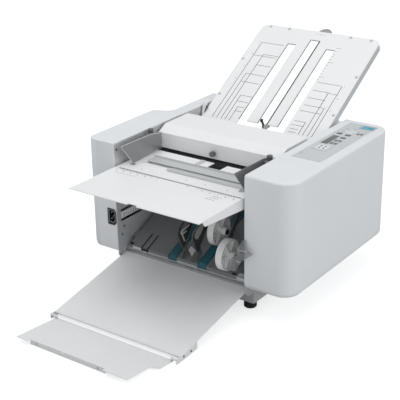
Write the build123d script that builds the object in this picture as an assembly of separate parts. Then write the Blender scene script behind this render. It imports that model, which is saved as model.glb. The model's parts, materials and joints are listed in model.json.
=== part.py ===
from build123d import *
import math
import os

os.makedirs("parts", exist_ok=True)

# Desk paper folding machine. The X axis runs to the right as seen from the
# delivery side, Y runs to the back and Z up. The origin is on the floor, under the
# middle of the paper path and half way between the covers' front and rear faces.

# Driving sizes of the body
left_cover_width = 82.6
right_cover_width = 115.4
body_depth = 442.0
opening_half = 175.5
cover_top = 331.0
cover_bottom = 68.0
cover_wall = 3.0
cover_edge_radius = 6.0
base_bottom = 18.0
base_wall = 2.0
base_front = 34.5
base_rear_inset = 12.0
frame_sheet = 2.0
frame_nose_bottom = 46.0
frame_nose_radius = 10.0
frame_gap = 0.2
frame_slot_front = 16.0
frame_slot_high_back = 70.0
frame_slot_high = 160.0
frame_slot_high_width = 6.0
frame_slot_low_back = 96.0
frame_slot_low = 136.0
frame_slot_low_width = 6.5
base_rear_height = 60.0

# Left cover: its rear half steps inwards in a soft S
left_step_start = 226.0
left_step_length = 58.0
left_step_depth = 48.0
left_corner_radius = 30.0
left_bottom_radius = 28.0

# Right cover: generous upright corners and a soft bottom edge
right_corner_radius = 40.0
right_bottom_radius = 14.0

# Power inlet in the left cover's front face
inlet_width = 22.0
inlet_height = 34.0
inlet_depth = 24.0
inlet_wall = 2.0
inlet_chamfer = 6.0
inlet_side = 14.0
inlet_rise = 84.0
inlet_floor = 6.0
inlet_pin_length = 9.0
inlet_pin_width = 2.0
inlet_pin_height = 4.0
inlet_pin_pitch = 7.0
inlet_pin_step = 3.5
inlet_recess_margin = 2.4
inlet_fit = 0.2
inlet_recess_depth = 0.8

# Feet
foot_radius = 14.5
foot_taper = 2.0
foot_side_inset = 17.5
foot_end_inset = 51.0

# Hood over the folding rollers
hood_side_gap = 9.0
hood_front_reach = 60.0
hood_plate_gap = 3.0
hood_face_drop = 14.0
hood_slope_length = 27.0
hood_rear_reach = 56.0
hood_rear_drop = 9.0
hood_sheet = 2.0
hood_cheek = 2.0
hood_cheek_rear_drop = 15.0
hood_cheek_mid_length = 45.0
hood_cheek_mid_drop = 12.0
hood_cheek_low_length = 15.0
hood_cheek_low_rise = 19.0
hood_cheek_foot = 10.0
hood_pivot_inset = 5.0
hood_pivot_drop = 10.0
hood_pin_radius = 3.0

# Feed table
table_incline = 31.3
table_foot_behind = 83.1
table_foot_rise = 7.2
table_length = 375.0
table_side_gap = 7.0
table_sheet = 2.0
table_rim_depth = 18.0
table_rim = 1.5
table_corner_radius = 18.0
table_slot_half = 11.7
table_slot_start = 32.5
table_slot_margin = 33.0
table_mouth_length = 20.0
table_mouth_half = 66.0
table_side_slot_centre = 55.0
table_side_slot_half = 11.0
table_side_slot_start = 56.5
table_pivot_inset = 15.0
table_pivot_radius = 5.0
table_pad_inset = 16.0
table_pad_x = 130.0
table_pad_radius = 8.0
table_rail_width = 5.0
table_rail_depth = 9.0
table_rivet_radius = 3.0
table_rivet_height = 0.9
table_rivet_margin = 24.0
table_rivet_inner_x = 88.5
table_rivet_edge = 6.5
table_rivet_run = 130.0
table_rivet_low_inset = 119.0

# Sheet metal bridge under the low end of the table
support_drop = 20.0
support_sheet = 2.0
support_length = 116.0
support_end_inset = 7.0
support_window_half = 88.0
support_bar = 36.0
support_tongue_half = 6.0
support_tongue_reach = 15.0

# Skew dial at the top edge of the table
dial_radius = 19.5
dial_thickness = 12.0
dial_drop = 4.0
dial_beyond = 17.0
dial_x = 10.0
dial_pin_radius = 3.0
dial_washer = 1.2
dial_washer_radius = 5.0
dial_window = 1.5
dial_notches = 24
dial_notch_radius = 1.1

# Sheet lever in the middle slot
lever_inset = 56.0
lever_pivot_drop = 12.0
lever_half = 1.5
lever_width = 5.0
lever_reach = 8.0
lever_head_radius = 4.5
lever_boss_radius = 4.0
lever_pin_radius = 1.5
lever_lug = 2.0
lever_lug_gap = 0.4
lever_lug_width = 9.0
lever_lug_over = 3.5

# Folding rollers, their gears and the path between them
gear_teeth = 28
gear_module = 1.3
paper_nip = 0.4
nip_back = 215.0
nip_drop = 52.0
roller_side_gap = 10.5
roller_shaft_radius = 6.0
gear_gap = 3.5
gear_width = 10.0
gear_backlash_share = 0.42
gear_tip_share = 0.26
gear_addendum_share = 0.85
gear_dedendum_share = 1.2
gear_hub_radius = 11.0
gear_phases = [0.5, 0.0, 0.5, 0.0]
pulley_step = 2.0
pulley_width = 8.0
feed_drive_radius = 14.0
main_drive_radius = 30.0
conveyor_drive_radius = 12.0
motor_drive_radius = 10.0
drive_belt_sheet = 1.5
shaft_overhang = 1.0

# Feed roller and separator
feed_radius = 20.0
feed_beyond = 18.0
feed_half = 30.0
feed_gap = 0.5
feed_shaft_radius = 5.0
separator_half = 16.0
separator_length = 22.0
separator_sheet = 4.0
separator_block = 9.0
separator_bar_beyond = 14.5
separator_bar_lift = 43.0
separator_bar_radius = 4.0
separator_clamp = 4.0

# Cross shafts that tie the side frames
tie_radius = 5.0
tie_low_inset = 20.0
tie_low_rise = 30.0
stacker_pivot_back = 130.0
stacker_pivot_drop = 46.0

# Drive motor
motor_radius = 36.0
motor_length = 92.0
motor_rear_gap = 72.0
motor_height = 165.0
motor_shaft_radius = 4.0
motor_boss_radius = 11.0
motor_rear_cap = 12.0
motor_shaft_short = 1.0

# Upper fold plate
plate_nip_drop = 1.0
plate_side_gap = 4.3
plate_front = 156.0
plate_nip_gap = 75.0
plate_sheet = 1.5
plate_rim_front_depth = 12.0
plate_rim_rear_depth = 25.5
plate_rim_inset = 21.0
plate_rim_chamfer = 15.0
plate_rim_turn = 12.0
plate_notch_half = 12.0
plate_notch_depth = 6.0
plate_groove_width = 2.0
plate_groove_depth = 0.6
plate_window_start = 3.0
plate_window_end = 38.0
plate_window_length = 36.0
plate_ear_radius = 4.0
plate_ear_front = 30.0
plate_ear_rear_inset = 20.0
plate_ear_drop = 12.0

# Wings, rail and stop of the upper fold plate
wing_side_gap = 24.0
wing_sheet = 1.5
wing_front = -3.0
wing_top_rear = 108.0
wing_rear_reach = 6.0
wing_top_drop = 2.0
wing_rear_drop = 9.0
wing_rear_foot = 6.0
wing_foot_front = 38.0
wing_foot_rear = 62.0
wing_tab_front = 105.0
wing_tab_length = 28.0
wing_tab_drop = 8.0
rail_side_gap = 47.5
rail_front = 60.0
rail_length = 30.0
rail_sheet = 2.0
rail_lift = 3.5
rail_foot = 4.0
rail_back_rise = 4.0
stop_left = -57.0
stop_wing_gap = 3.5
stop_front = 40.0
stop_sheet = 1.8
stop_gap = 0.3
stop_lip = 3.4
stop_tongue_left = -30.0
stop_tongue_right = 110.0
stop_tongue_width = 10.0
stop_tongue_inset = 2.0

# Thumb screws
thumb_head_radius = 6.5
thumb_head_height = 9.0
thumb_stem_radius = 2.5
thumb_collar_radius = 4.0
thumb_collar_height = 3.0
thumb_stem_length = 8.0
thumb_ring = 2.0
thumb_wing_gap = 10.5
thumb_hood_rise = 14.0
thumb_hood_x = -8.0
thumb_notches = 12
thumb_notch_radius = 0.7

# Lower fold plate, behind the rollers
pocket_roller_gap = 3.6
pocket_mouth_shift = 9.05
pocket_foot_gap = 15.0
pocket_slope = 45.0
pocket_gap = 5.0
pocket_sheet = 1.5
pocket_side_gap = 10.5
pocket_rim = 2.0
pocket_arm = 20.0

# Delivery conveyor
deck_front = 31.2
deck_front_height = 76.3
deck_slope = 23.7
deck_length = 196.0
deck_side_gap = 8.9
deck_sheet = 1.5
deck_lip = 8.0
deck_tab_width = 20.0
deck_tab_front = 24.0
deck_tab_rear_inset = 50.0
deck_slit_width = 2.5
deck_slit_left = -129.0
deck_slit_right = -112.0
deck_slit_end = 46.0
deck_bridge = 6.0
deck_bridge_drop = 26.0
deck_leg_inset = 6.6
deck_leg_width = 10.0
belt_x = 41.0
belt_width = 20.0
belt_sheet = 1.6
belt_side_gap = 2.0
belt_pulley_radius = 9.0
belt_running_gap = 0.3
belt_centre_drop = 9.6
belt_front_run = 8.0
belt_rear_inset = 21.0
belt_shaft_radius = 4.0
belt_pulley_width = 22.0
lip_height = 66.0
lip_cut_half = 14.0
lip_cut_bottom = 52.0
lip_slot_left = 118.0
lip_slot_right = 136.0
lip_slot_bottom = 54.0
lip_slot_top = 61.0

# Stacker arms and wheels
stacker_wheel_radius = 36.0
stacker_wheel_width = 16.0
stacker_rim = 3.5
stacker_hub_radius = 9.0
stacker_hub_out = 14.0
stacker_axle_radius = 3.0
stacker_spokes = 6
stacker_spoke_width = 3.0
stacker_web = 2.0
stacker_inner_x = 48.5
stacker_inner_run = 80.4
stacker_outer_inset = 68.5
stacker_outer_run = 22.0
stacker_rest_gap = 0.3
stacker_arm_sheet = 2.5
stacker_arm_width = 14.0
stacker_arm_gap = 0.5
stacker_collar_radius = 9.0
stacker_collar_start = -24.0
stacker_outer_collar = 18.0
leaf_left = -17.4
leaf_right = 22.6
leaf_sheet = 1.6

# Polished leaf: its box in the side view, its outline and its hooked window
leaf_front = 19.0
leaf_depth = 127.0
leaf_low = 80.0
leaf_height = 166.0
leaf_shares = [
    (0.780, 1.000), (0.205, 0.530), (0.039, 0.458), (0.000, 0.367), (0.087, 0.199),
    (0.173, 0.084), (0.110, 0.000), (0.197, 0.027), (0.291, 0.072), (0.244, 0.193),
    (0.307, 0.229), (0.417, 0.343), (1.000, 0.843), (1.000, 0.952),
]
leaf_window_shares = [
    (0.700, 0.830), (0.340, 0.540), (0.130, 0.430), (0.090, 0.370), (0.130, 0.330),
    (0.190, 0.370), (0.400, 0.490), (0.740, 0.770),
]

# Clear guide on the outer stacker axle: its side bend and its front outline
guide_sheet = 1.2
guide_side_inset = 45.5
guide_span = 80.0
guide_reach = 12.0
guide_reach_middle = 10.0
guide_low = 104.0
guide_height = 85.0
guide_width = 74.0
guide_front_shares = [(0.208, 0.000), (0.833, 0.341), (0.833, 0.718), (0.250, 1.000)]
guide_outline_shares = [
    (0.081, 0.012), (0.338, 0.024), (0.568, 0.376), (1.000, 0.688), (0.784, 0.747),
    (0.689, 0.976), (0.581, 0.941), (0.453, 0.659), (0.332, 0.341),
]
guide_strip_shift = 18.0
guide_strip_height = 16.0
guide_strip_low = 112.0
guide_strip_high = 142.0
guide_bridge_length = 12.0

# Delivery tray
tray_pivot_back = 29.0
tray_pivot_height = 59.0
tray_slope = 10.6
tray_length = 254.6
tray_side_gap = 4.0
tray_sheet = 1.2
tray_pin_radius = 4.0
tray_roll_radius = 4.5
tray_rim = 1.2
tray_hem = 6.3
tray_lip_height = 3.5
tray_side_length = 52.0
tray_side_back = 4.0
tray_floor_gap = 0.5
tray_pin_reach = 16.5
tray_bead_x = 62.0
tray_bead_width = 2.4
tray_bead_height = 0.5
tray_bead_start = 20.0
tray_bead_end = 150.0

# Tray extension
extension_pivot_out = 14.7
extension_pivot_height = 8.4
extension_slope = 5.0
extension_start = 4.0
extension_height = 2.3
extension_length = 122.0
extension_sheet = 1.2
extension_left_inset = 10.0
extension_right_inset = 35.0
extension_ear = 4.5
extension_ear_inset = 14.5
extension_ear_length = 44.0
extension_ear_slant = 8.0
extension_flange_left_inset = 31.5
extension_flange_right_inset = 63.5
extension_flange_back = 8.0
extension_pin_radius = 2.5
extension_lug_radius = 4.2
extension_notch_x = -41.0
extension_notch_half = 2.5
extension_notch_depth = 5.0

# Control panel, display and keys
panel_frame_gap = 18.5
panel_side_inset = 22.9
panel_length = 271.0
panel_rear_inset = 21.0
panel_proud = 0.4
key_gap = 0.3
key_depth = 3.0
key_travel = 1.0
key_proud = 0.6
display_width = 14.5
display_length = 61.0
display_sheet = 1.6
panel_fit = 0.3
panel_sheet = 1.5
panel_flange = 4.0
key_edge = 0.4
start_key_length = 28.0
start_key_width = 18.0
small_key_length = 5.4
small_key_width = 9.0
function_key_length = 12.0
function_key_width = 10.0
step_pad_length = 19.0
step_pad_width = 32.0
arrow_pad_side = 38.0

# Middle of each key and of the display, as shares of the panel's width and length
panel_shares = {
    "display": (0.2535, 0.5148),
    "start_key": (0.7556, 0.9317),
    "stop_key": (0.7611, 0.7491),
    "clear_key": (0.8722, 0.7576),
    "function_key_1": (0.2278, 0.6900),
    "function_key_2": (0.5444, 0.6808),
    "function_key_3": (0.5375, 0.5985),
    "step_pad": (0.5319, 0.4753),
    "arrow_pad": (0.4167, 0.3100),
}

# Electronics in the base
supply_side_inset = 25.5
supply_width = 105.0
supply_length = 136.0
supply_rear_inset = 44.0
supply_height = 42.0
supply_vent_start = 18.0
supply_vent_width = 3.0
supply_vent_pitch = 9.0
supply_vent_count = 8
supply_vent_half = 32.0
supply_sheet = 2.0
board_side_inset = 25.5
board_supply_gap = 40.0
board_length = 140.0
board_rear_inset = 46.0
board_lift = 12.0
board_sheet = 1.6
board_post_radius = 3.5
board_post_inset = 8.0
chip_size = 18.0
chip_height = 3.0
capacitor_radius = 9.0
capacitor_height = 22.0
board_chip_shares = [-0.3, 0.0, 0.2]
board_capacitor_shares = [-0.35, -0.1, 0.15, 0.35]

# Rear cover
rear_sheet = 2.0
rear_opening = 91.0
rear_flange = 14.0
rear_vent_width = 60.0
rear_vent_height = 4.0
rear_vent_pitch = 11.0
rear_vent_count = 6
rear_vent_drop = 98.0

# Screws
screw_head_radius = 3.0
screw_head_height = 1.2
deck_screw_back = 24.0
deck_screw_height = 121.5
lip_screw_back = 17.0
lip_screw_height = 103.6
base_screw_inset = 10.0
base_screw_pitch = 120.0
rear_screw_head = 0.9
rear_screw_inset = 10.5
rear_screw_drop = 31.0

# Clearances, the overrun of every cut and two units
run_gap = 0.06
hinge_gap = 0.4
cut_run = 4.0
full_turn = 360.0
litre = 1000000.0


def back(distance):
    """Y of a point that lies this far behind the covers' front faces."""
    return distance - body_depth / 2


def block(x0, x1, y0, y1, z0, z1):
    """Box between two corners."""
    return Pos(x0, y0, z0) * Box(x1 - x0, y1 - y0, z1 - z0, align=(Align.MIN, Align.MIN, Align.MIN))


def rod(x0, x1, y, z, radius):
    """Round bar along X."""
    return Pos((x0 + x1) / 2, y, z) * Rot(0, 90, 0) * Cylinder(radius, x1 - x0)


def side_plate(points, x0, x1):
    """Outline in Y and Z, given thickness along X."""
    face = Plane.YZ.offset(x0) * make_face(Polyline(*points, close=True))
    return extrude(face, amount=x1 - x0)


def front_plate(points, y0, y1):
    """Outline in X and Z, given thickness along Y."""
    face = Plane.XZ.offset(-y1) * make_face(Polyline(*points, close=True))
    return extrude(face, amount=y1 - y0)


def deck_point(run, lift):
    """Y and Z of a point on the conveyor: up the slope by run, off its face by lift."""
    slope = math.radians(deck_slope)
    y = back(deck_front) + run * math.cos(slope) - lift * math.sin(slope)
    z = deck_front_height + run * math.sin(slope) + lift * math.cos(slope)
    return y, z


def table_point(run, lift):
    """Y and Z of a point on the feed table: down from its top edge by run, above it by lift."""
    slope = math.radians(table_incline)
    y = back(table_top_back) - run * math.cos(slope) - lift * math.sin(slope)
    z = table_top_height - run * math.sin(slope) + lift * math.cos(slope)
    return y, z


def sloped_plane(y, z, degrees):
    """Plane along X that climbs to the back by this many degrees."""
    slope = math.radians(degrees)
    return Plane(origin=(0, y, z), x_dir=(1, 0, 0), z_dir=(0, -math.sin(slope), math.cos(slope)))


# Values that follow from the sizes above
left_outer = -opening_half - left_cover_width
right_outer = opening_half + right_cover_width
front_face = back(0)
rear_face = back(body_depth)
frame_outer = opening_half + frame_sheet
base_rear = body_depth - base_rear_inset
nip_height = cover_top - nip_drop
plate_top = nip_height - plate_nip_drop
frame_slots = [
    (frame_slot_front, frame_slot_high_back, frame_slot_high,
     frame_slot_high + frame_slot_high_width),
    (frame_slot_front, frame_slot_low_back, frame_slot_low,
     frame_slot_low + frame_slot_low_width),
]
inlet_centre_x = -opening_half - inlet_side
inlet_centre_z = cover_bottom + inlet_rise
foot_x = opening_half - foot_side_inset
foot_front = foot_end_inset
foot_rear = body_depth - foot_end_inset
hood_half = opening_half - hood_side_gap
hood_front = nip_back - hood_front_reach
hood_face_bottom = plate_top + hood_plate_gap
hood_face_top = cover_top - hood_face_drop
hood_slope_back = hood_front + hood_slope_length
hood_slope = math.atan2(hood_face_drop, hood_slope_length)
hood_rear = nip_back + hood_rear_reach
hood_pivot_back = hood_rear - hood_pivot_inset
hood_pivot_height = cover_top - hood_pivot_drop
table_turn = math.radians(table_incline)
table_top_back = nip_back + table_foot_behind + table_length * math.cos(table_turn)
table_top_height = nip_height + table_foot_rise + table_length * math.sin(table_turn)
table_half = opening_half - table_side_gap
table_slot_end = table_length - table_slot_margin
table_mouth_start = table_slot_end - table_mouth_length
table_pivot_run = table_length - table_pivot_inset
table_rivet_run_low = table_length - table_rivet_low_inset
support_end = table_length - support_end_inset
support_start = support_end - support_length
table_pad_run = support_start + table_pad_inset
lever_pivot_run = table_length - lever_inset
feed_run = table_length + feed_beyond
separator_bar_run = feed_run + separator_bar_beyond
roller_half = opening_half - roller_side_gap
gear_start = frame_outer + gear_gap
tie_low_back = base_rear - tie_low_inset
tie_low_height = base_rear_height + tie_low_rise
stacker_pivot_height = plate_top - stacker_pivot_drop
motor_back = body_depth - motor_rear_gap
plate_half = opening_half - plate_side_gap
plate_rear = nip_back - plate_nip_gap
plate_rim_front = plate_front - plate_rim_inset
plate_window_front = plate_rear - plate_window_length
plate_ear_rear = plate_rear - plate_ear_rear_inset
wing_half = opening_half - wing_side_gap
wing_rear = plate_rear + wing_rear_reach
wing_tab_rear = wing_tab_front + wing_tab_length
rail_half = opening_half - rail_side_gap
rail_rear = rail_front + rail_length
stop_right = wing_half - stop_wing_gap
stop_tongues = [stop_tongue_left, stop_tongue_right]
stop_tongue_rear = plate_rear - stop_tongue_inset
thumb_x = wing_half + thumb_wing_gap
thumb_back = (wing_tab_front + wing_tab_rear) / 2
thumb_hood_height = hood_face_bottom + thumb_hood_rise
deck_half = opening_half - deck_side_gap
deck_tab_rear = deck_length - deck_tab_rear_inset
deck_leg_end = deck_half - deck_leg_inset
deck_legs = [
    (-deck_leg_end, -deck_leg_end + deck_leg_width),
    (-deck_leg_width, deck_leg_width),
    (deck_leg_end - deck_leg_width, deck_leg_end),
]
belt_rear_run = deck_length - belt_rear_inset
stacker_outer_x = opening_half - stacker_outer_inset
guide_left = opening_half - guide_side_inset
guide_right = guide_left + guide_span
guide_strip_x = guide_left + guide_strip_shift
guide_bridge_end = guide_strip_x + guide_bridge_length
tray_half = opening_half - tray_side_gap
extension_left = -tray_half + extension_left_inset
extension_right = tray_half - extension_right_inset
extension_ear_right = tray_half - extension_ear_inset
extension_flange_left = extension_left + extension_flange_left_inset
extension_flange_right = extension_right - extension_flange_right_inset
panel_left = frame_outer + panel_frame_gap
panel_right = right_outer - panel_side_inset
panel_rear = body_depth - panel_rear_inset
panel_front = panel_rear - panel_length
supply_right = opening_half - supply_side_inset
supply_left = supply_right - supply_width
supply_rear = body_depth - supply_rear_inset
supply_front = supply_rear - supply_length
board_left = -opening_half + board_side_inset
board_right = supply_left - board_supply_gap
board_rear = body_depth - board_rear_inset
board_front = board_rear - board_length
rear_cover_top = cover_top - rear_opening
rear_vent_bottom = rear_cover_top - rear_vent_drop
rear_screw_x = opening_half - rear_screw_inset
rear_screw_heights = [base_rear_height, rear_cover_top - rear_screw_drop]
frame_screw_places = [
    (deck_screw_back, deck_screw_height),
    (lip_screw_back, lip_screw_height),
    (base_rear - base_screw_inset - base_screw_pitch, base_rear_height),
    (base_rear - base_screw_inset, base_rear_height),
]
pitch = gear_teeth * gear_module
roller_radius = (pitch - paper_nip) / 2
roller_places = [
    (back(nip_back), nip_height + pitch / 2),
    (back(nip_back), nip_height - pitch / 2),
    (back(nip_back) - pitch, nip_height - pitch / 2),
    (back(nip_back) - pitch, nip_height - pitch * 3 / 2),
]
inner_belt_start = gear_start + gear_width + pulley_step
outer_belt_start = inner_belt_start + pulley_width + pulley_step
outer_belt_end = outer_belt_start + pulley_width
feed_place = table_point(feed_run, -feed_radius - feed_gap)
separator_bar_place = table_point(separator_bar_run, separator_bar_lift)
motor_place = (back(motor_back), motor_height)
conveyor_front_place = deck_point(belt_front_run, -belt_centre_drop)
conveyor_rear_place = deck_point(belt_rear_run, -belt_centre_drop)
belt_top_lift = belt_pulley_radius + belt_running_gap + belt_sheet - belt_centre_drop
inner_wheel_lift = stacker_wheel_radius + belt_top_lift + stacker_rest_gap
inner_wheel_place = deck_point(stacker_inner_run, inner_wheel_lift)
outer_wheel_place = deck_point(stacker_outer_run, stacker_wheel_radius + stacker_rest_gap)
stacker_pivot = (back(stacker_pivot_back), stacker_pivot_height)
tray_plane = sloped_plane(back(tray_pivot_back), tray_pivot_height, tray_slope)
table_plane = sloped_plane(back(table_top_back), table_top_height, table_incline)
deck_plane = sloped_plane(back(deck_front), deck_front_height, deck_slope)
tray_front_y = back(tray_pivot_back) - tray_length * math.cos(math.radians(tray_slope))
extension_pivot = (tray_front_y - extension_pivot_out, extension_pivot_height)
gear_pulleys = {
    1: [(main_drive_radius, inner_belt_start), (feed_drive_radius, outer_belt_start)],
    3: [(conveyor_drive_radius, outer_belt_start)],
}
panel_top = cover_top + panel_proud
pocket_turn = math.radians(pocket_slope)
pocket_stack = pocket_gap + pocket_sheet * 2
pocket_reach = roller_radius + pocket_roller_gap + pocket_stack - pocket_sheet / 2
pocket_top_y = roller_places[1][0] - pocket_reach * math.sin(pocket_turn)
pocket_top_y += pocket_mouth_shift * math.cos(pocket_turn)
pocket_top_height = roller_places[1][1] - pocket_reach * math.cos(pocket_turn)
pocket_top_height -= pocket_mouth_shift * math.sin(pocket_turn)
pocket_foot = base_bottom + base_wall + supply_height + pocket_foot_gap
pocket_length = (pocket_top_height - pocket_foot) / math.sin(pocket_turn)
pocket_half = opening_half - pocket_side_gap
key_top = panel_top + key_proud
key_bottom = key_top - key_depth
pocket_floor = key_bottom - key_travel - key_gap
key_sizes = {
    "start_key": (start_key_length, start_key_width),
    "stop_key": (small_key_length, small_key_width),
    "clear_key": (small_key_length, small_key_width),
    "function_key_1": (function_key_length, function_key_width),
    "function_key_2": (function_key_length, function_key_width),
    "function_key_3": (function_key_length, function_key_width),
    "step_pad": (step_pad_length, step_pad_width),
    "arrow_pad": (arrow_pad_side, arrow_pad_side),
}


def panel_place(name):
    """Middle of a key or of the display: X, and the distance behind the front faces."""
    across, along = panel_shares[name]
    return panel_left + across * (panel_right - panel_left), panel_front + along * panel_length


key_places = {name: panel_place(name) + size for name, size in key_sizes.items()}
display_x, display_back = panel_place("display")
display_left = display_x - display_width / 2
display_right = display_x + display_width / 2
display_front = display_back - display_length / 2
display_rear = display_back + display_length / 2


# Covers

def left_prism(inset):
    """Solid of the left cover, drawn in by inset on its outer faces."""
    outer = left_outer + inset
    stepped = left_outer + left_step_depth + inset
    y0 = front_face + inset
    y1 = rear_face - inset
    step_a = back(left_step_start) - inset
    step_b = back(left_step_start + left_step_length) - inset
    middle = ((outer + stepped) / 2, (step_a + step_b) / 2)
    radius = left_corner_radius - inset
    outline = [
        Line((-opening_half + inset, y0), (outer + radius, y0)),
        RadiusArc((outer + radius, y0), (outer, y0 + radius), radius),
        Line((outer, y0 + radius), (outer, step_a)),
        TangentArc((outer, step_a), middle, tangent=(0, 1)),
        TangentArc((stepped, step_b), middle, tangent=(0, -1)),
        Line((stepped, step_b), (stepped, y1)),
        Line((stepped, y1), (-opening_half + inset, y1)),
        Line((-opening_half + inset, y1), (-opening_half + inset, y0)),
    ]
    plan = extrude(make_face(outline), amount=cover_top - cover_bottom - inset * 2)
    plan = Pos(0, 0, cover_bottom + inset) * plan
    z0 = cover_bottom + inset
    z1 = cover_top - inset
    low = left_bottom_radius - inset
    high = cover_edge_radius - inset
    inner = -opening_half + inset
    section = [
        Line((inner, z0), (outer + low, z0)),
        RadiusArc((outer + low, z0), (outer, z0 + low), low),
        Line((outer, z0 + low), (outer, z1 - high)),
        RadiusArc((outer, z1 - high), (outer + high, z1), high),
        Line((outer + high, z1), (inner, z1)),
        Line((inner, z1), (inner, z0)),
    ]
    profile = extrude(Plane.XZ.offset(-y1) * make_face(section), amount=y1 - y0)
    return plan & profile


def inlet_outline(grow):
    """Cut-corner outline of the power inlet, in X and Z."""
    half_x = inlet_width / 2 + grow
    half_z = inlet_height / 2 + grow
    cut = inlet_chamfer
    corners = [
        (-half_x, -half_z), (half_x - cut, -half_z), (half_x, -half_z + cut),
        (half_x, half_z - cut), (half_x - cut, half_z), (-half_x, half_z),
    ]
    return [(inlet_centre_x + x, inlet_centre_z + z) for x, z in corners]


def left_cover():
    shell = left_prism(0) - left_prism(cover_wall)
    hollow = block(-opening_half - cover_wall, -opening_half, front_face + cover_wall,
                   rear_face - cover_wall, cover_bottom + cover_wall, cover_top - cover_wall)
    shell -= hollow
    shell -= block(-frame_outer, -opening_half, front_face + cover_wall, rear_face - cover_wall,
                   cover_bottom - cut_run, cover_bottom + cover_wall)
    shell -= front_plate(inlet_outline(0), front_face - cut_run, front_face + cover_wall + cut_run)
    half_x = inlet_width / 2 + inlet_recess_margin
    half_z = inlet_height / 2 + inlet_recess_margin
    shell -= block(inlet_centre_x - half_x, min(inlet_centre_x + half_x, -frame_outer),
                   front_face - cut_run, front_face + inlet_recess_depth,
                   inlet_centre_z - half_z, inlet_centre_z + half_z)
    return shell


def right_prism(inset):
    """Solid of the right cover, drawn in by inset on its outer faces."""
    x0 = opening_half + inset
    x1 = right_outer - inset
    y0 = front_face + inset
    y1 = rear_face - inset
    radius = right_corner_radius - inset
    outline = [
        Line((x0, y0), (x1 - radius, y0)),
        RadiusArc((x1 - radius, y0), (x1, y0 + radius), -radius),
        Line((x1, y0 + radius), (x1, y1 - radius)),
        RadiusArc((x1, y1 - radius), (x1 - radius, y1), -radius),
        Line((x1 - radius, y1), (x0, y1)),
        Line((x0, y1), (x0, y0)),
    ]
    solid = extrude(make_face(outline), amount=cover_top - cover_bottom - inset * 2)
    solid = Pos(0, 0, cover_bottom + inset) * solid
    low_face = solid.faces().sort_by(Axis.Z)[0]
    low = [edge for edge in low_face.edges() if edge.center().X > x0 + cut_run]
    solid = fillet(low, right_bottom_radius - inset)
    top_face = solid.faces().sort_by(Axis.Z)[-1]
    high = [edge for edge in top_face.edges() if edge.center().X > x0 + cut_run]
    return fillet(high, cover_edge_radius - inset)


def right_cover():
    shell = right_prism(0) - right_prism(cover_wall)
    shell -= block(opening_half, opening_half + cover_wall, front_face + cover_wall,
                   rear_face - cover_wall, cover_bottom + cover_wall, cover_top - cover_wall)
    shell -= block(opening_half, frame_outer, front_face + cover_wall, rear_face - cover_wall,
                   cover_bottom - cut_run, cover_bottom + cover_wall)
    shell -= block(panel_left, panel_right, back(panel_front), back(panel_rear),
                   cover_top - cover_wall - cut_run, cover_top + cut_run)
    return shell


def rear_cover():
    y1 = rear_face - cover_wall + rear_sheet
    z0 = base_bottom + base_wall
    z1 = rear_cover_top
    sheet = block(-opening_half, opening_half, y1 - rear_sheet, y1, z0, z1)
    sheet += block(-opening_half, opening_half, y1 - rear_flange, y1, z1 - rear_sheet, z1)
    sheet += block(-opening_half, opening_half, back(base_rear), y1, z0, z0 + rear_sheet)
    for row in range(rear_vent_count):
        z = rear_vent_bottom + row * rear_vent_pitch
        for side in (-1, 1):
            middle = side * rear_vent_width
            sheet -= block(middle - rear_vent_width / 2, middle + rear_vent_width / 2,
                           y1 - rear_sheet - cut_run, y1 + cut_run, z, z + rear_vent_height)
    return sheet


def hood_line(inset):
    """Bent line of the hood from its front lip over the top to its rear lip."""
    return [
        (back(hood_front) + inset, hood_face_bottom),
        (back(hood_front) + inset,
         hood_face_top - inset * math.tan((math.pi / 2 - hood_slope) / 2)),
        (back(hood_slope_back) + inset * math.tan(hood_slope / 2), cover_top - inset),
        (back(hood_rear) - inset, cover_top - inset),
        (back(hood_rear) - inset, cover_top - hood_rear_drop),
    ]


def hood():
    outline = hood_line(0) + hood_line(hood_sheet)[::-1]
    shell = side_plate(outline, -hood_half, hood_half)
    cheek = [
        (back(hood_front) + hood_sheet / 2, hood_face_bottom),
        (back(hood_front) + hood_sheet / 2, hood_face_top),
        (back(hood_slope_back), cover_top - hood_sheet / 2),
        (back(hood_rear) - hood_sheet / 2, cover_top - hood_sheet / 2),
        (back(hood_rear) - hood_sheet / 2, cover_top - hood_cheek_rear_drop),
        (back(hood_front + hood_cheek_mid_length), cover_top - hood_cheek_mid_drop),
        (back(hood_front + hood_cheek_low_length), hood_face_bottom + hood_cheek_low_rise),
        (back(hood_front) + hood_cheek_foot, hood_face_bottom),
    ]
    for side in (-1, 1):
        inner = side * (hood_half - hood_cheek)
        outer = side * hood_half
        shell += side_plate(cheek, min(inner, outer), max(inner, outer))
        tip = side * frame_outer
        shell += rod(min(inner, tip), max(inner, tip), back(hood_pivot_back),
                     hood_pivot_height, hood_pin_radius)
    bore = Pos(thumb_hood_x, back(hood_front), thumb_hood_height) * Rot(90, 0, 0)
    shell -= bore * Cylinder(thumb_stem_radius + run_gap, hood_sheet * 2 + cut_run)
    return shell


def thumb_screw_along(place, turn):
    """Notched thumb screw whose head stands at place; turn points its stem."""
    head = Cylinder(thumb_head_radius, thumb_head_height,
                    align=(Align.CENTER, Align.CENTER, Align.MIN))
    for index in range(thumb_notches):
        notch = Cylinder(thumb_notch_radius, thumb_head_height,
                         align=(Align.CENTER, Align.CENTER, Align.MIN))
        head -= Rot(0, 0, index * full_turn / thumb_notches) * Pos(thumb_head_radius, 0, 0) * notch
    head = Pos(0, 0, thumb_collar_height) * head
    head += Cylinder(thumb_collar_radius, thumb_collar_height,
                     align=(Align.CENTER, Align.CENTER, Align.MIN))
    head += Cylinder(thumb_stem_radius, thumb_stem_length,
                     align=(Align.CENTER, Align.CENTER, Align.MAX))
    return place * turn * head


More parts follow.
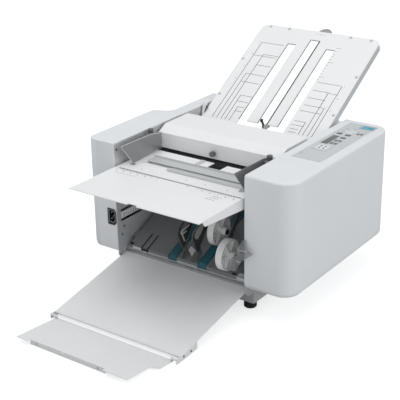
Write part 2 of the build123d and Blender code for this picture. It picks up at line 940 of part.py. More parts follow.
def hood_thumb_screw():
    place = Pos(thumb_hood_x, back(hood_front) - hinge_gap, thumb_hood_height)
    screw = thumb_screw_along(place, Rot(90, 0, 0))
    ring_back = back(hood_front) + hood_sheet + hinge_gap + thumb_ring / 2
    ring = Pos(thumb_hood_x, ring_back, thumb_hood_height)
    return screw + ring * Rot(90, 0, 0) * Cylinder(thumb_collar_radius, thumb_ring)


def thumb_screws():
    tab_top = cover_top - wing_tab_drop
    pair = Part()
    for side in (-1, 1):
        place = Pos(side * thumb_x, back(thumb_back), tab_top)
        pair += thumb_screw_along(place, Rot(0, 0, 0))
    return pair


# Base and side frames

def base_pan():
    x = opening_half
    y0 = back(base_front)
    y1 = back(base_rear)
    pan = block(-x, x, y0, y1, base_bottom, base_bottom + base_wall)
    pan += block(-x, x, y0, y0 + base_wall, base_bottom, lip_height)
    pan += block(-x, x, y1 - base_wall, y1, base_bottom, base_rear_height)
    for side in (-1, 1):
        cut = block(side * belt_x - lip_cut_half, side * belt_x + lip_cut_half,
                    y0 - cut_run, y0 + base_wall + cut_run, lip_cut_bottom, lip_height + cut_run)
        pan -= cut
    pan -= block(lip_slot_left, lip_slot_right, y0 - cut_run, y0 + base_wall + cut_run,
                 lip_slot_bottom, lip_slot_top)
    return pan


def frame_sheet_outline():
    y0 = front_face + cover_wall + frame_gap
    y1 = rear_face - cover_wall - frame_gap
    top = cover_top - cover_wall - frame_gap
    return [
        (y0 + frame_nose_radius, frame_nose_bottom), (back(base_front), frame_nose_bottom),
        (back(base_front), base_bottom), (back(base_rear), base_bottom),
        (back(base_rear), base_rear_height), (y1, base_rear_height), (y1, top), (y0, top),
        (y0, frame_nose_bottom + frame_nose_radius),
    ]


def side_frame(side):
    """Side frame with every bearing hole of the rollers, shafts and hinges."""
    x0 = min(side * opening_half, side * frame_outer)
    x1 = max(side * opening_half, side * frame_outer)
    sheet = side_plate(frame_sheet_outline(), x0, x1)
    holes = [(place, roller_shaft_radius) for place in roller_places]
    holes.append((feed_place, feed_shaft_radius))
    holes.append((conveyor_front_place, belt_shaft_radius))
    holes.append((conveyor_rear_place, belt_shaft_radius))
    holes.append(((back(tray_pivot_back), tray_pivot_height), tray_pin_radius))
    holes.append(((back(hood_pivot_back), hood_pivot_height), hood_pin_radius))
    holes.append((stacker_pivot, tie_radius))
    holes.append(((back(tie_low_back), tie_low_height), tie_radius))
    holes.append((separator_bar_place, separator_bar_radius))
    if side > 0:
        holes.append((motor_place, motor_boss_radius))
    for place, radius in holes:
        sheet -= rod(x0 - cut_run, x1 + cut_run, place[0], place[1], radius + run_gap)
    for y0, y1, z0, z1 in frame_slots:
        sheet -= block(x0 - cut_run, x1 + cut_run, back(y0), back(y1), z0, z1)
    return sheet


def tie_bars():
    bars = rod(-frame_outer, frame_outer, *stacker_pivot, tie_radius)
    bars += rod(-frame_outer, frame_outer, back(tie_low_back), tie_low_height, tie_radius)
    bars += rod(-frame_outer, frame_outer, *separator_bar_place, separator_bar_radius)
    return bars


def feet():
    group = Part()
    for x in (-1, 1):
        for y in (-1, 1):
            centre_x = x * foot_x
            centre_y = back(foot_front) if y < 0 else back(foot_rear)
            foot = Cylinder(foot_radius, base_bottom, align=(Align.CENTER, Align.CENTER, Align.MIN))
            foot = chamfer(foot.edges().sort_by(Axis.Z)[0], foot_taper)
            group += Pos(centre_x, centre_y, 0) * foot
    return group


def power_inlet():
    y0 = front_face + inlet_recess_depth
    body = front_plate(inlet_outline(-inlet_fit), y0, y0 + inlet_depth)
    room = front_plate(inlet_outline(-inlet_wall), y0 - cut_run, y0 + inlet_depth - inlet_floor)
    body -= room
    floor = y0 + inlet_depth - inlet_floor
    for row, shift in ((-1, 0), (0, inlet_pin_step), (1, 0)):
        z = inlet_centre_z + row * inlet_pin_pitch
        x = inlet_centre_x - inlet_pin_step / 2 + shift
        body += block(x - inlet_pin_width / 2, x + inlet_pin_width / 2,
                      floor - inlet_pin_length, floor + inlet_wall,
                      z - inlet_pin_height / 2, z + inlet_pin_height / 2)
    return body


# Feed table and its support

def table_box(x0, x1, run0, run1, lift0, lift1):
    """Box on the feed table: across, down the slope and off its face."""
    solid = Pos((x0 + x1) / 2, -(run0 + run1) / 2, (lift0 + lift1) / 2)
    return table_plane * (solid * Box(x1 - x0, run1 - run0, lift1 - lift0))


def table_rod(x, run, lift0, lift1, radius):
    """Round post square to the feed table."""
    solid = Pos(x, -run, (lift0 + lift1) / 2) * Cylinder(radius, lift1 - lift0)
    return table_plane * solid


def table_tray(inset, depth0, depth1, end):
    """Round-cornered slab of the feed table, drawn in by inset."""
    half = table_half - inset
    slab = Box(half * 2, end - inset, depth1 - depth0)
    corners = slab.edges().filter_by(Axis.Z).group_by(Axis.Y)[-1]
    slab = fillet(corners, table_corner_radius - inset)
    return table_plane * (Pos(0, -(inset + end) / 2, (depth0 + depth1) / 2) * slab)


def feed_table():
    table = table_tray(0, -table_rim_depth, 0, table_length)
    table -= table_tray(table_rim, -table_rim_depth - cut_run, -table_sheet,
                        table_length + cut_run)
    table += table_box(table_slot_half, table_slot_half + table_rail_width, table_slot_start,
                       table_mouth_start, -table_sheet - table_rail_depth, -table_sheet)
    table -= table_box(-table_mouth_half, table_mouth_half, table_mouth_start, table_slot_end,
                       -table_sheet - cut_run, cut_run)
    table -= table_box(-table_slot_half, table_slot_half, table_slot_start, table_slot_end,
                       -table_sheet - cut_run, cut_run)
    for side in (-1, 1):
        middle = side * table_side_slot_centre
        table -= table_box(middle - table_side_slot_half, middle + table_side_slot_half,
                           table_side_slot_start, table_slot_end,
                           -table_sheet - cut_run, cut_run)
        outer = side * (table_half - table_rivet_edge)
        places = [
            (side * (table_half - table_rivet_margin), table_rivet_edge),
            (side * table_rivet_inner_x, table_rivet_edge),
            (outer, table_rivet_run),
            (outer, table_rivet_run_low),
        ]
        for x, run in places:
            table += table_rod(x, run, 0, table_rivet_height, table_rivet_radius)
    table -= table_rod(0, table_pivot_run, -table_sheet - cut_run, cut_run,
                       table_pivot_radius + run_gap)
    window = dial_radius + dial_window
    table -= table_box(dial_x - window, dial_x + window, -cut_run, table_rim + cut_run,
                       -dial_drop - dial_thickness - hinge_gap, -dial_drop + hinge_gap)
    run = dial_radius - dial_beyond
    table += table_rod(dial_x, run, -dial_drop - dial_thickness - hinge_gap - dial_washer,
                       -table_sheet, dial_pin_radius)
    table += table_rod(dial_x, run, -dial_drop - dial_thickness - hinge_gap - dial_washer,
                       -dial_drop - dial_thickness - hinge_gap, dial_washer_radius)
    return table


def skew_knob():
    run = dial_radius - dial_beyond
    low = -dial_drop - dial_thickness
    knob = table_rod(dial_x, run, low, -dial_drop, dial_radius)
    knob -= table_rod(dial_x, run, low - cut_run, -dial_drop + cut_run,
                      dial_pin_radius + run_gap)
    for index in range(dial_notches):
        turn = math.tau * index / dial_notches
        x = dial_x + dial_radius * math.cos(turn)
        y = run + dial_radius * math.sin(turn)
        knob -= table_rod(x, y, low - cut_run, -dial_drop + cut_run, dial_notch_radius)
    return knob


def table_support():
    low = -support_drop - support_sheet
    plate = table_box(-opening_half, opening_half, support_start, support_end, low, -support_drop)
    bar_run = support_end - support_bar
    plate -= table_box(-support_window_half, support_window_half, support_start - cut_run, bar_run,
                       low - cut_run, -support_drop + cut_run)
    plate += table_box(-support_tongue_half, support_tongue_half,
                       lever_pivot_run - support_tongue_reach, bar_run, low, -support_drop)
    plate += table_rod(0, table_pivot_run, -support_drop, 0, table_pivot_radius)
    for side in (-1, 1):
        plate += table_rod(side * table_pad_x, table_pad_run, -support_drop,
                           -table_sheet - hinge_gap, table_pad_radius)
        near = side * (lever_half + lever_lug_gap)
        far = side * (lever_half + lever_lug_gap + lever_lug)
        plate += table_box(min(near, far), max(near, far),
                           lever_pivot_run - lever_lug_width / 2,
                           lever_pivot_run + lever_lug_width / 2,
                           -support_drop, -lever_pivot_drop + lever_lug_over)
    y, z = table_point(lever_pivot_run, -lever_pivot_drop)
    reach = lever_half + lever_lug_gap + lever_lug
    plate += rod(-reach, reach, y, z, lever_pin_radius)
    return plate


def sheet_lever():
    y, z = table_point(lever_pivot_run, -lever_pivot_drop)
    lever = rod(-lever_half, lever_half, y, z, lever_boss_radius)
    lever += table_box(-lever_half, lever_half, lever_pivot_run - lever_width / 2,
                       lever_pivot_run + lever_width / 2, -lever_pivot_drop, lever_reach)
    y1, z1 = table_point(lever_pivot_run, lever_reach)
    lever += rod(-lever_half, lever_half, y1, z1, lever_head_radius)
    lever -= rod(-lever_half - cut_run, lever_half + cut_run, y, z, lever_pin_radius + run_gap)
    return lever


# Folding and feed rollers

def gear_outline(place, phase):
    """Tooth outline in Y and Z."""
    y, z = place
    points = []
    outer = pitch / 2 + gear_module * gear_addendum_share
    inner = pitch / 2 - gear_module * gear_dedendum_share
    step = math.tau / gear_teeth
    half_root = step * gear_backlash_share / 2 + step * gear_tip_share / 4
    half_tip = step * gear_tip_share / 2
    for tooth in range(gear_teeth):
        middle = (tooth + phase) * step
        corners = [(-half_root, inner), (-half_tip, outer), (half_tip, outer), (half_root, inner)]
        for turn, radius in corners:
            angle = middle + turn
            points.append((y + radius * math.cos(angle), z + radius * math.sin(angle)))
    return points


def gear(number, phase):
    """Spur gear on a roller's shaft, with the drive pulleys that are one piece with it."""
    place = roller_places[number]
    y, z = place
    x1 = gear_start + gear_width
    solid = side_plate(gear_outline(place, phase), gear_start, x1)
    solid += rod(frame_outer + hinge_gap, gear_start, y, z, gear_hub_radius)
    for radius, start in gear_pulleys.get(number, []):
        solid += rod(x1, start, y, z, gear_hub_radius)
        solid += rod(start, start + pulley_width, y, z, radius)
        x1 = start + pulley_width
    return solid - rod(opening_half, x1 + cut_run, y, z, roller_shaft_radius)


def folding_roller(number):
    """Rubber roller on a stepped shaft that runs through both side frames."""
    y, z = roller_places[number]
    tail = gear_start + gear_width + shaft_overhang
    if number in gear_pulleys:
        tail = outer_belt_end + shaft_overhang
    body = rod(-roller_half, roller_half, y, z, roller_radius)
    return body + rod(-frame_outer - shaft_overhang, tail, y, z, roller_shaft_radius)


def hull_face(place_a, radius_a, place_b, radius_b, x0):
    """Outline round two circles of a side view, standing at x0."""
    one = Pos(place_a[0], place_a[1]) * Circle(radius_a)
    two = Pos(place_b[0], place_b[1]) * Circle(radius_b)
    return Plane.YZ.offset(x0) * make_hull(one.edges() + two.edges())


def belt_loop(place_a, radius_a, place_b, radius_b, x0, x1, sheet):
    """Closed flat belt round two pulleys."""
    gap = belt_running_gap
    outer = hull_face(place_a, radius_a + gap + sheet, place_b, radius_b + gap + sheet, x0)
    inner = hull_face(place_a, radius_a + gap, place_b, radius_b + gap, x0)
    return extrude(outer, amount=x1 - x0) - extrude(inner, amount=x1 - x0)


def motor_pulley():
    y, z = motor_place
    x1 = inner_belt_start + pulley_width
    body = rod(gear_start, x1 + hinge_gap, y, z, motor_drive_radius)
    return body - rod(opening_half, x1, y, z, motor_shaft_radius + run_gap)


def drive_motor():
    y, z = motor_place
    x1 = opening_half
    motor = rod(x1 - motor_length, x1, y, z, motor_radius)
    motor += rod(x1, frame_outer + hinge_gap, y, z, motor_boss_radius)
    motor += rod(x1, inner_belt_start + pulley_width - motor_shaft_short, y, z, motor_shaft_radius)
    motor += rod(x1 - motor_length - motor_rear_cap, x1 - motor_length, y, z, motor_boss_radius)
    return motor


def drive_belts():
    inner0 = inner_belt_start
    outer0 = outer_belt_start
    sheet = drive_belt_sheet
    width = pulley_width
    loops = belt_loop(motor_place, motor_drive_radius, roller_places[1], main_drive_radius,
                      inner0, inner0 + width, sheet)
    loops += belt_loop(roller_places[1], feed_drive_radius, feed_place, feed_drive_radius,
                       outer0, outer0 + width, sheet)
    loops += belt_loop(roller_places[3], conveyor_drive_radius, conveyor_rear_place,
                       conveyor_drive_radius, outer0, outer0 + width, sheet)
    return loops


def feed_roller():
    y, z = feed_place
    body = rod(-feed_half, feed_half, y, z, feed_radius)
    body += rod(-frame_outer - shaft_overhang, outer_belt_end, y, z, feed_shaft_radius)
    return body + rod(outer_belt_start, outer_belt_end, y, z, feed_drive_radius)


def separator_pad():
    run = feed_run
    low = feed_gap
    pad = table_box(-separator_half, separator_half, run - separator_length / 2,
                    run + separator_length / 2, low, low + separator_sheet)
    pad += table_box(-separator_half, separator_half, run - separator_length / 2,
                     run + separator_length / 2, low + separator_sheet,
                     low + separator_sheet + separator_block)
    y, z = separator_bar_place
    bar_run = separator_bar_run
    pad += table_box(-separator_half, separator_half, run + separator_clamp / 2, bar_run,
                     low + separator_sheet, low + separator_sheet + separator_block)
    pad += table_box(-separator_half, separator_half, bar_run - separator_clamp, bar_run,
                     low + separator_sheet, separator_bar_lift)
    pad += rod(-separator_half, separator_half, y, z, separator_bar_radius + separator_clamp)
    return pad - rod(-opening_half, opening_half, y, z, separator_bar_radius)


# Upper fold plate, wings, rail and stop

def fold_plate():
    y0 = back(-plate_front)
    y1 = back(plate_rear)
    z1 = plate_top
    z0 = plate_top - plate_sheet
    plate = block(-plate_half, plate_half, y0, y1, z0, z1)
    rim = [
        (y0 + plate_rim_turn, z0), (back(-plate_rim_front), z0 - plate_rim_front_depth),
        (back(plate_rim_chamfer), z0 - plate_rim_rear_depth), (y1, z0 - plate_rim_rear_depth),
        (y1, z0),
    ]
    for side in (-1, 1):
        inner = side * (plate_half - plate_sheet)
        outer = side * plate_half
        plate += side_plate(rim, min(inner, outer), max(inner, outer))
        for distance in (plate_ear_front, plate_ear_rear):
            tip = side * opening_half
            plate += rod(min(inner, tip), max(inner, tip), back(distance),
                         plate_top - plate_ear_drop, plate_ear_radius)
    plate -= block(-plate_notch_half, plate_notch_half, y0 - cut_run, y0 + plate_notch_depth,
                   z0 - cut_run, z1 + cut_run)
    plate -= block(plate_window_start, plate_window_end, back(plate_window_front), y1 + cut_run,
                   z0 - cut_run, z1 + cut_run)
    plate -= block(-plate_half - cut_run, plate_half + cut_run, back(0), back(plate_groove_width),
                   z1 - plate_groove_depth, z1 + cut_run)
    return plate


def wing(side):
    inner = side * wing_half
    outer = side * (wing_half + wing_sheet)
    outline = [
        (back(wing_front), cover_top), (back(wing_top_rear), cover_top - wing_top_drop),
        (back(wing_rear), cover_top - wing_rear_drop), (back(wing_rear), plate_top + wing_rear_foot),
        (back(wing_foot_rear), plate_top), (back(wing_foot_front), plate_top),
    ]
    sheet = side_plate(outline, min(inner, outer), max(inner, outer))
    tip = side * (thumb_x + thumb_collar_radius + wing_sheet)
    top = cover_top - wing_tab_drop
    tab = block(min(inner, tip), max(inner, tip), back(wing_tab_front), back(wing_tab_rear),
                top - wing_sheet, top)
    hole = Cylinder(thumb_stem_radius, wing_sheet * 2 + cut_run)
    return sheet + tab - Pos(side * thumb_x, back(thumb_back), top) * hole


def cross_rail():
    z0 = plate_top + rail_lift
    z1 = z0 + rail_sheet
    rail = block(-rail_half, rail_half, back(rail_front), back(rail_rear), z0, z1)
    rail += block(-rail_half, rail_half, back(rail_rear) - rail_sheet, back(rail_rear), z1,
                  z1 + rail_back_rise)
    for side in (-1, 1):
        inner = side * (rail_half - rail_foot)
        outer = side * rail_half
        rail += block(min(inner, outer), max(inner, outer), back(rail_front), back(rail_rear),
                      plate_top, z0)
    return rail


def fold_stop():
    z0 = plate_top + stop_gap
    z1 = z0 + stop_sheet
    stop = block(stop_left, stop_right, back(stop_front), back(rail_front) - stop_gap, z0, z1)
    stop += block(stop_left, stop_right, back(stop_front), back(stop_front) + stop_sheet,
                  z1, z1 + stop_lip)
    for x in stop_tongues:
        stop += block(x, x + stop_tongue_width, back(rail_front) - stop_gap, back(stop_tongue_rear),
                      z0, z1)
    return stop


# Lower fold plate and delivery conveyor

def lower_fold_plate():
    plane = Plane(origin=(0, pocket_top_y, pocket_top_height), x_dir=(1, 0, 0),
                  z_dir=(0, math.sin(pocket_turn), math.cos(pocket_turn)))
    pocket = Part()
    for lift in (0, pocket_gap + pocket_sheet):
        sheet = Box(pocket_half * 2, pocket_length, pocket_sheet)
        pocket += plane * (Pos(0, pocket_length / 2, lift) * sheet)
    for side in (-1, 1):
        spacer = Box(pocket_rim, pocket_length, pocket_gap + pocket_sheet * 2)
        shift = Pos(side * (pocket_half - pocket_rim / 2), pocket_length / 2,
                    (pocket_gap + pocket_sheet) / 2)
        pocket += plane * (shift * spacer)
        arm = Box(opening_half - pocket_half, pocket_arm, pocket_gap + pocket_sheet * 2)
        for place in (pocket_arm, pocket_length - pocket_arm):
            shift = Pos(side * (opening_half + pocket_half) / 2, place,
                        (pocket_gap + pocket_sheet) / 2)
            pocket += plane * (shift * arm)
    stop = Box(pocket_half * 2, pocket_rim, pocket_gap + pocket_sheet)
    pocket += plane * (Pos(0, pocket_length - pocket_rim / 2, (pocket_gap + pocket_sheet) / 2) * stop)
    return pocket


def deck_box(x0, x1, run0, run1, lift0, lift1):
    """Box on the conveyor deck: across, up the slope and off its face."""
    solid = Pos((x0 + x1) / 2, (run0 + run1) / 2, (lift0 + lift1) / 2)
    return deck_plane * (solid * Box(x1 - x0, run1 - run0, lift1 - lift0))


def conveyor_deck():
    deck = deck_box(-deck_half, deck_half, 0, deck_length, -deck_sheet, 0)
    y = back(deck_front)
    deck += block(-deck_half, deck_half, y, y + deck_sheet, deck_front_height - deck_lip,
                  deck_front_height - deck_sheet / 2)
    for side in (-1, 1):
        middle = side * belt_x
        half = belt_width / 2 + belt_side_gap
        deck -= deck_box(middle - half, middle + half, -cut_run - deck_sheet,
                         deck_length + cut_run, -deck_sheet - cut_run, cut_run)
        deck -= block(middle - half, middle + half, y - cut_run, y + deck_lip,
                      deck_front_height - deck_lip - cut_run, deck_front_height + cut_run)
        for run in (deck_tab_front, deck_tab_rear):
            near = side * deck_half
            far = side * opening_half
            deck += deck_box(min(near, far), max(near, far), run, run + deck_tab_width,
                             -deck_sheet, 0)
    for x in (deck_slit_left, deck_slit_right):
        deck -= deck_box(x - deck_slit_width / 2, x + deck_slit_width / 2, -cut_run - deck_sheet,
                         deck_slit_end, -deck_sheet - cut_run, cut_run)
        deck -= block(x - deck_slit_width / 2, x + deck_slit_width / 2, y - cut_run, y + deck_lip,
                      deck_front_height - deck_lip - cut_run, deck_front_height + cut_run)
    joined = deck_length - deck_bridge
    low = -deck_bridge_drop
    deck += deck_box(-deck_half, deck_half, joined, deck_length, low - deck_sheet, low)
    for x0, x1 in deck_legs:
        deck += deck_box(x0, x1, joined, deck_length, low, 0)
    return deck


def belt_shaft(place, right_end):
    """Conveyor shaft with one pulley under each belt."""
    y, z = place
    shaft = rod(-frame_outer + hinge_gap, right_end, y, z, belt_shaft_radius)
    for side in (-1, 1):
        middle = side * belt_x
        shaft += rod(middle - belt_pulley_width / 2, middle + belt_pulley_width / 2, y, z,
                     belt_pulley_radius)
    return shaft


def conveyor_rear_shaft():
    y, z = conveyor_rear_place
    shaft = belt_shaft(conveyor_rear_place, outer_belt_end)
    return shaft + rod(outer_belt_start, outer_belt_end, y, z, conveyor_drive_radius)


def conveyor_belts():
    loops = Part()
    for side in (-1, 1):
        middle = side * belt_x
        loops += belt_loop(conveyor_front_place, belt_pulley_radius, conveyor_rear_place,
                           belt_pulley_radius, middle - belt_width / 2, middle + belt_width / 2,
                           belt_sheet)
    return loops


# Stacker arms, wheels and guides

def arm_strip(place_a, place_b, x0, x1):
    """Round-ended strip between two points of a side view."""
    half = stacker_arm_width / 2
    return extrude(hull_face(place_a, half, place_b, half, x0), amount=x1 - x0)


def stacker_arm(place, middle, collar_start, axle_end):
    """Swing arm on the pivot shaft with the axle of its wheel."""
    x1 = middle - stacker_wheel_width / 2 - stacker_arm_gap
    x0 = x1 - stacker_arm_sheet
    arm = arm_strip(stacker_pivot, place, x0, x1)
    arm += rod(collar_start, x1, *stacker_pivot, stacker_collar_radius)
    arm += rod(x0, axle_end, *place, stacker_axle_radius)
    return arm - rod(-opening_half, opening_half, *stacker_pivot, tie_radius + run_gap)


def stacker_arm_inner():
    end = stacker_inner_x + stacker_wheel_width / 2 + stacker_hub_out
    return stacker_arm(inner_wheel_place, stacker_inner_x, stacker_collar_start, end)


def stacker_arm_outer():
    middle = stacker_outer_x
    start = middle - stacker_wheel_width / 2 - stacker_outer_collar
    return stacker_arm(outer_wheel_place, middle, start, guide_strip_x + guide_sheet)


def stacker_wheel(place, middle):
    """Spoked wheel with its hub reaching out to the right."""
    y, z = place
    x0 = middle - stacker_wheel_width / 2
    x1 = middle + stacker_wheel_width / 2
    wheel = rod(x0, x1, y, z, stacker_wheel_radius)
    wheel -= rod(x0 - cut_run, x1 + cut_run, y, z, stacker_wheel_radius - stacker_rim)
    wheel += rod(middle - stacker_web / 2, middle + stacker_web / 2, y, z,
                 stacker_wheel_radius - stacker_rim / 2)
    reach = stacker_wheel_radius - stacker_rim / 2
    for index in range(stacker_spokes):
        spoke = Box(stacker_wheel_width, reach, stacker_spoke_width,
                    align=(Align.CENTER, Align.MIN, Align.CENTER))
        turn = full_turn * index / stacker_spokes
        wheel += Pos(middle, y, z) * (Rot(turn, 0, 0) * spoke)
    wheel += rod(x0, x1 + stacker_hub_out, y, z, stacker_hub_radius)
    return wheel - rod(x0 - cut_run, x1 + stacker_hub_out + cut_run, y, z,
                       stacker_axle_radius + run_gap)


def leaf_outline(shares):
    """Side view outline in the leaf's box."""
    return [(back(leaf_front) + y * leaf_depth, leaf_low + z * leaf_height) for y, z in shares]


def leaf_plates():
    """Pair of polished guide leaves with a hooked opening, hung on the inner arm."""
    pair = Part()
    for x in (leaf_left, leaf_right):
        leaf = side_plate(leaf_outline(leaf_shares), x, x + leaf_sheet)
        leaf -= side_plate(leaf_outline(leaf_window_shares), x - cut_run, x + leaf_sheet + cut_run)
        pair += leaf
    return pair - rod(leaf_left - cut_run, leaf_right + cut_run, *stacker_pivot,
                      stacker_collar_radius)


def clear_guide():
    """Bent clear strip that keeps the folded sheets from running out at the side."""
    profile_front = [(back(-guide_reach * y), guide_low + z * guide_height)
                     for y, z in guide_front_shares]
    profile_rear = [(y + guide_sheet, z) for y, z in profile_front][::-1]
    bent = side_plate(profile_front + profile_rear, guide_left, guide_right)
    points = [(guide_left + x * guide_width, guide_low + z * guide_height)
              for x, z in guide_outline_shares]
    face = front_plate(points, back(-guide_reach), back(0))
    guide = bent & face
    y, z = outer_wheel_place
    strip = side_plate([
        (back(-guide_reach_middle), guide_strip_low), (y, z - guide_strip_height / 2),
        (y + guide_strip_height / 2, z - guide_strip_height / 2),
        (y + guide_strip_height / 2, z + guide_strip_height / 2),
        (back(-guide_reach_middle), guide_strip_high),
    ], guide_strip_x, guide_strip_x + guide_sheet)
    guide += strip
    guide += block(guide_strip_x, guide_bridge_end, back(-guide_reach_middle),
                   back(-guide_reach_middle) + guide_sheet, guide_strip_low, guide_strip_high)
    return guide - rod(guide_strip_x - cut_run, guide_strip_x + cut_run, y, z,
                       stacker_axle_radius)


# Delivery tray and its extension

def tray_box(x0, x1, run0, run1, lift0, lift1):
    """Box on the tray: across, forward from its hinge and off its hinge plane."""
    solid = Pos((x0 + x1) / 2, -(run0 + run1) / 2, (lift0 + lift1) / 2)
    return tray_plane * (solid * Box(x1 - x0, run1 - run0, lift1 - lift0))


def delivery_tray():
    y = back(tray_pivot_back)
    z = tray_pivot_height
    tray = tray_box(-tray_half, tray_half, 0, tray_length, -tray_sheet, 0)
    tray += rod(-tray_half, tray_half, y, z, tray_roll_radius)
    tray += rod(-frame_outer, frame_outer, y, z, tray_pin_radius)
    for side in (-1, 1):
        x = side * tray_bead_x
        tray += tray_box(x - tray_bead_width / 2, x + tray_bead_width / 2, tray_bead_start,
                         tray_bead_end, 0, tray_bead_height)
    slope = math.radians(tray_slope)
    edge_y = y - tray_length * math.cos(slope)
    edge_z = z - tray_length * math.sin(slope)
    lip_y = edge_y - tray_hem
    tray += block(-tray_half, tray_half, lip_y, edge_y + tray_sheet, edge_z - tray_sheet, edge_z)
    tray += block(-tray_half, tray_half, lip_y, lip_y + tray_sheet, edge_z - tray_lip_height, edge_z)
    side_y = edge_y + tray_side_length
    side_z = edge_z + tray_side_length * math.tan(slope)
    ear_y = extension_pivot[0] - extension_ear
    outline = [
        (ear_y, tray_floor_gap), (edge_y, tray_floor_gap), (side_y, tray_side_back),
        (side_y, side_z - tray_sheet / 2), (edge_y, edge_z), (ear_y, edge_z),
    ]
    for side in (-1, 1):
        inner = side * (tray_half - tray_rim)
        outer = side * tray_half
        tray += side_plate(outline, min(inner, outer), max(inner, outer))
        tip = side * (tray_half - tray_pin_reach)
        tray += rod(min(tip, outer), max(tip, outer), *extension_pivot, extension_pin_radius)
    return tray


def tray_extension():
    """Fold-out end of the tray, hinged on two pins just above the floor."""
    y, z = extension_pivot
    slope = math.radians(extension_slope)
    start = y + extension_start
    plane = Plane(origin=(0, start, extension_height), x_dir=(1, 0, 0),
                  z_dir=(0, math.sin(slope), math.cos(slope)))
    flange_run = extension_flange_back - extension_length
    corners = [
        (extension_left, 0), (extension_ear_right, 0),
        (extension_ear_right, -extension_ear_length),
        (extension_right, -extension_ear_length - extension_ear_slant),
        (extension_right, -extension_length), (extension_flange_right, -extension_length),
        (extension_flange_right, flange_run), (extension_flange_left, flange_run),
        (extension_flange_left, -extension_length), (extension_left, -extension_length),
    ]
    face = make_face(Polyline(*corners, close=True))
    body = plane * (Pos(0, 0, -extension_sheet) * extrude(face, amount=extension_sheet))
    front = start - (extension_length - extension_flange_back) * math.cos(slope)
    rise = extension_height + (start - front) * math.tan(slope)
    body += block(extension_flange_left, extension_flange_right, front, front + extension_sheet,
                  tray_floor_gap, rise - extension_sheet / 2)
    notch = extension_notch_x
    body -= block(notch - extension_notch_half, notch + extension_notch_half, front - cut_run,
                  front + cut_run, rise - extension_notch_depth - extension_sheet,
                  rise - extension_sheet)
    lug = [
        (y - extension_lug_radius, extension_height - extension_sheet / 2),
        (y + extension_start, extension_height - extension_sheet / 2),
        (y + extension_lug_radius, z), (y + extension_lug_radius / 2, z + extension_lug_radius),
        (y - extension_lug_radius / 2, z + extension_lug_radius), (y - extension_lug_radius, z),
    ]
    right = extension_ear_right
    for x0, x1 in ((extension_left, extension_left + extension_sheet),
                   (right - extension_sheet, right)):
        body += side_plate(lug, x0, x1)
        body -= rod(x0 - cut_run, x1 + cut_run, y, z, extension_pin_radius + run_gap)
    return body


# Panel, display and keys

def pocket_for(centre_x, distance, length, width):
    """Key pocket in the panel, open at the top, as a cut."""
    half_x = length / 2 + key_gap
    half_y = width / 2 + key_gap
    y = back(distance)
    return block(centre_x - half_x, centre_x + half_x, y - half_y, y + half_y, pocket_floor,
                 panel_top + cut_run)


def key(centre_x, distance, length, width):
    y = back(distance)
    solid = block(centre_x - length / 2, centre_x + length / 2, y - width / 2, y + width / 2,
                  key_bottom, key_top)
    return chamfer(solid.faces().sort_by(Axis.Z)[-1].edges(), key_edge)


def control_panel():
    x0 = panel_left + panel_fit
    x1 = panel_right - panel_fit
    y0 = back(panel_front) + panel_fit
    y1 = back(panel_rear) - panel_fit
    low = pocket_floor - panel_sheet
    panel = block(x0, x1, y0, y1, low, panel_top)
    panel += block(x0 - panel_flange, x1 + panel_flange, y0 - panel_flange, y1 + panel_flange,
                   low, cover_top - cover_wall)
    for place in key_places.values():
        panel -= pocket_for(*place)
    panel -= block(display_left, display_right, back(display_front), back(display_rear),
                   panel_top - display_sheet, panel_top + cut_run)
    return panel


def display_window():
    return block(display_left + panel_fit, display_right - panel_fit,
                 back(display_front) + panel_fit, back(display_rear) - panel_fit,
                 panel_top - display_sheet, panel_top)


# Electronics and fasteners

def power_supply():
    floor = base_bottom + base_wall
    case = block(supply_left, supply_right, back(supply_front), back(supply_rear), floor,
                 floor + supply_height)
    case -= block(supply_left + supply_sheet, supply_right - supply_sheet,
                  back(supply_front) + supply_sheet, back(supply_rear) - supply_sheet,
                  floor - cut_run, floor + supply_height - supply_sheet)
    middle = (supply_left + supply_right) / 2
    for index in range(supply_vent_count):
        y = back(supply_front) + supply_vent_start + index * supply_vent_pitch
        case -= block(middle - supply_vent_half, middle + supply_vent_half, y,
                      y + supply_vent_width, floor + supply_height - supply_sheet - cut_run,
                      floor + supply_height + cut_run)
    return case


def circuit_board():
    floor = base_bottom + base_wall
    z = floor + board_lift
    board = block(board_left, board_right, back(board_front), back(board_rear), z, z + board_sheet)
    for x in (board_left + board_post_inset, board_right - board_post_inset):
        for y in (back(board_front) + board_post_inset, back(board_rear) - board_post_inset):
            post = Cylinder(board_post_radius, board_lift + board_sheet,
                            align=(Align.CENTER, Align.CENTER, Align.MIN))
            board += Pos(x, y, floor) * post
    top = z + board_sheet
    middle = (board_left + board_right) / 2
    for share in board_chip_shares:
        x = middle + share * (board_right - board_left)
        y = back((board_front + board_rear) / 2)
        board += block(x - chip_size / 2, x + chip_size / 2, y - chip_size / 2, y + chip_size / 2,
                       top, top + chip_height)
    for share in board_capacitor_shares:
        x = middle + share * (board_right - board_left)
        y = back(board_rear) - capacitor_radius * 2
        can = Cylinder(capacitor_radius, capacitor_height,
                       align=(Align.CENTER, Align.CENTER, Align.MIN))
        board += Pos(x, y, top) * can
    return board


def screws():
    """Round heads that hold the covers, the deck and the fold plate to the frames."""
    group = Part()
    for side in (-1, 1):
        for distance, height in frame_screw_places:
            inner = side * (opening_half - screw_head_height)
            outer = side * opening_half
            group += rod(min(inner, outer), max(inner, outer), back(distance), height,
                         screw_head_radius)
    y = rear_face - cover_wall + rear_sheet
    for side in (-1, 1):
        for height in rear_screw_heights:
            head = Cylinder(screw_head_radius, rear_screw_head)
            group += Pos(side * rear_screw_x, y + rear_screw_head / 2, height) * Rot(90, 0, 0) * head
    return group


def save(name, solid):
    """Write one node as one solid or one group of solids."""
    export_step(solid, "parts/" + name + ".step")
    print(name, round(solid.volume / litre, 4), len(solid.solids()))


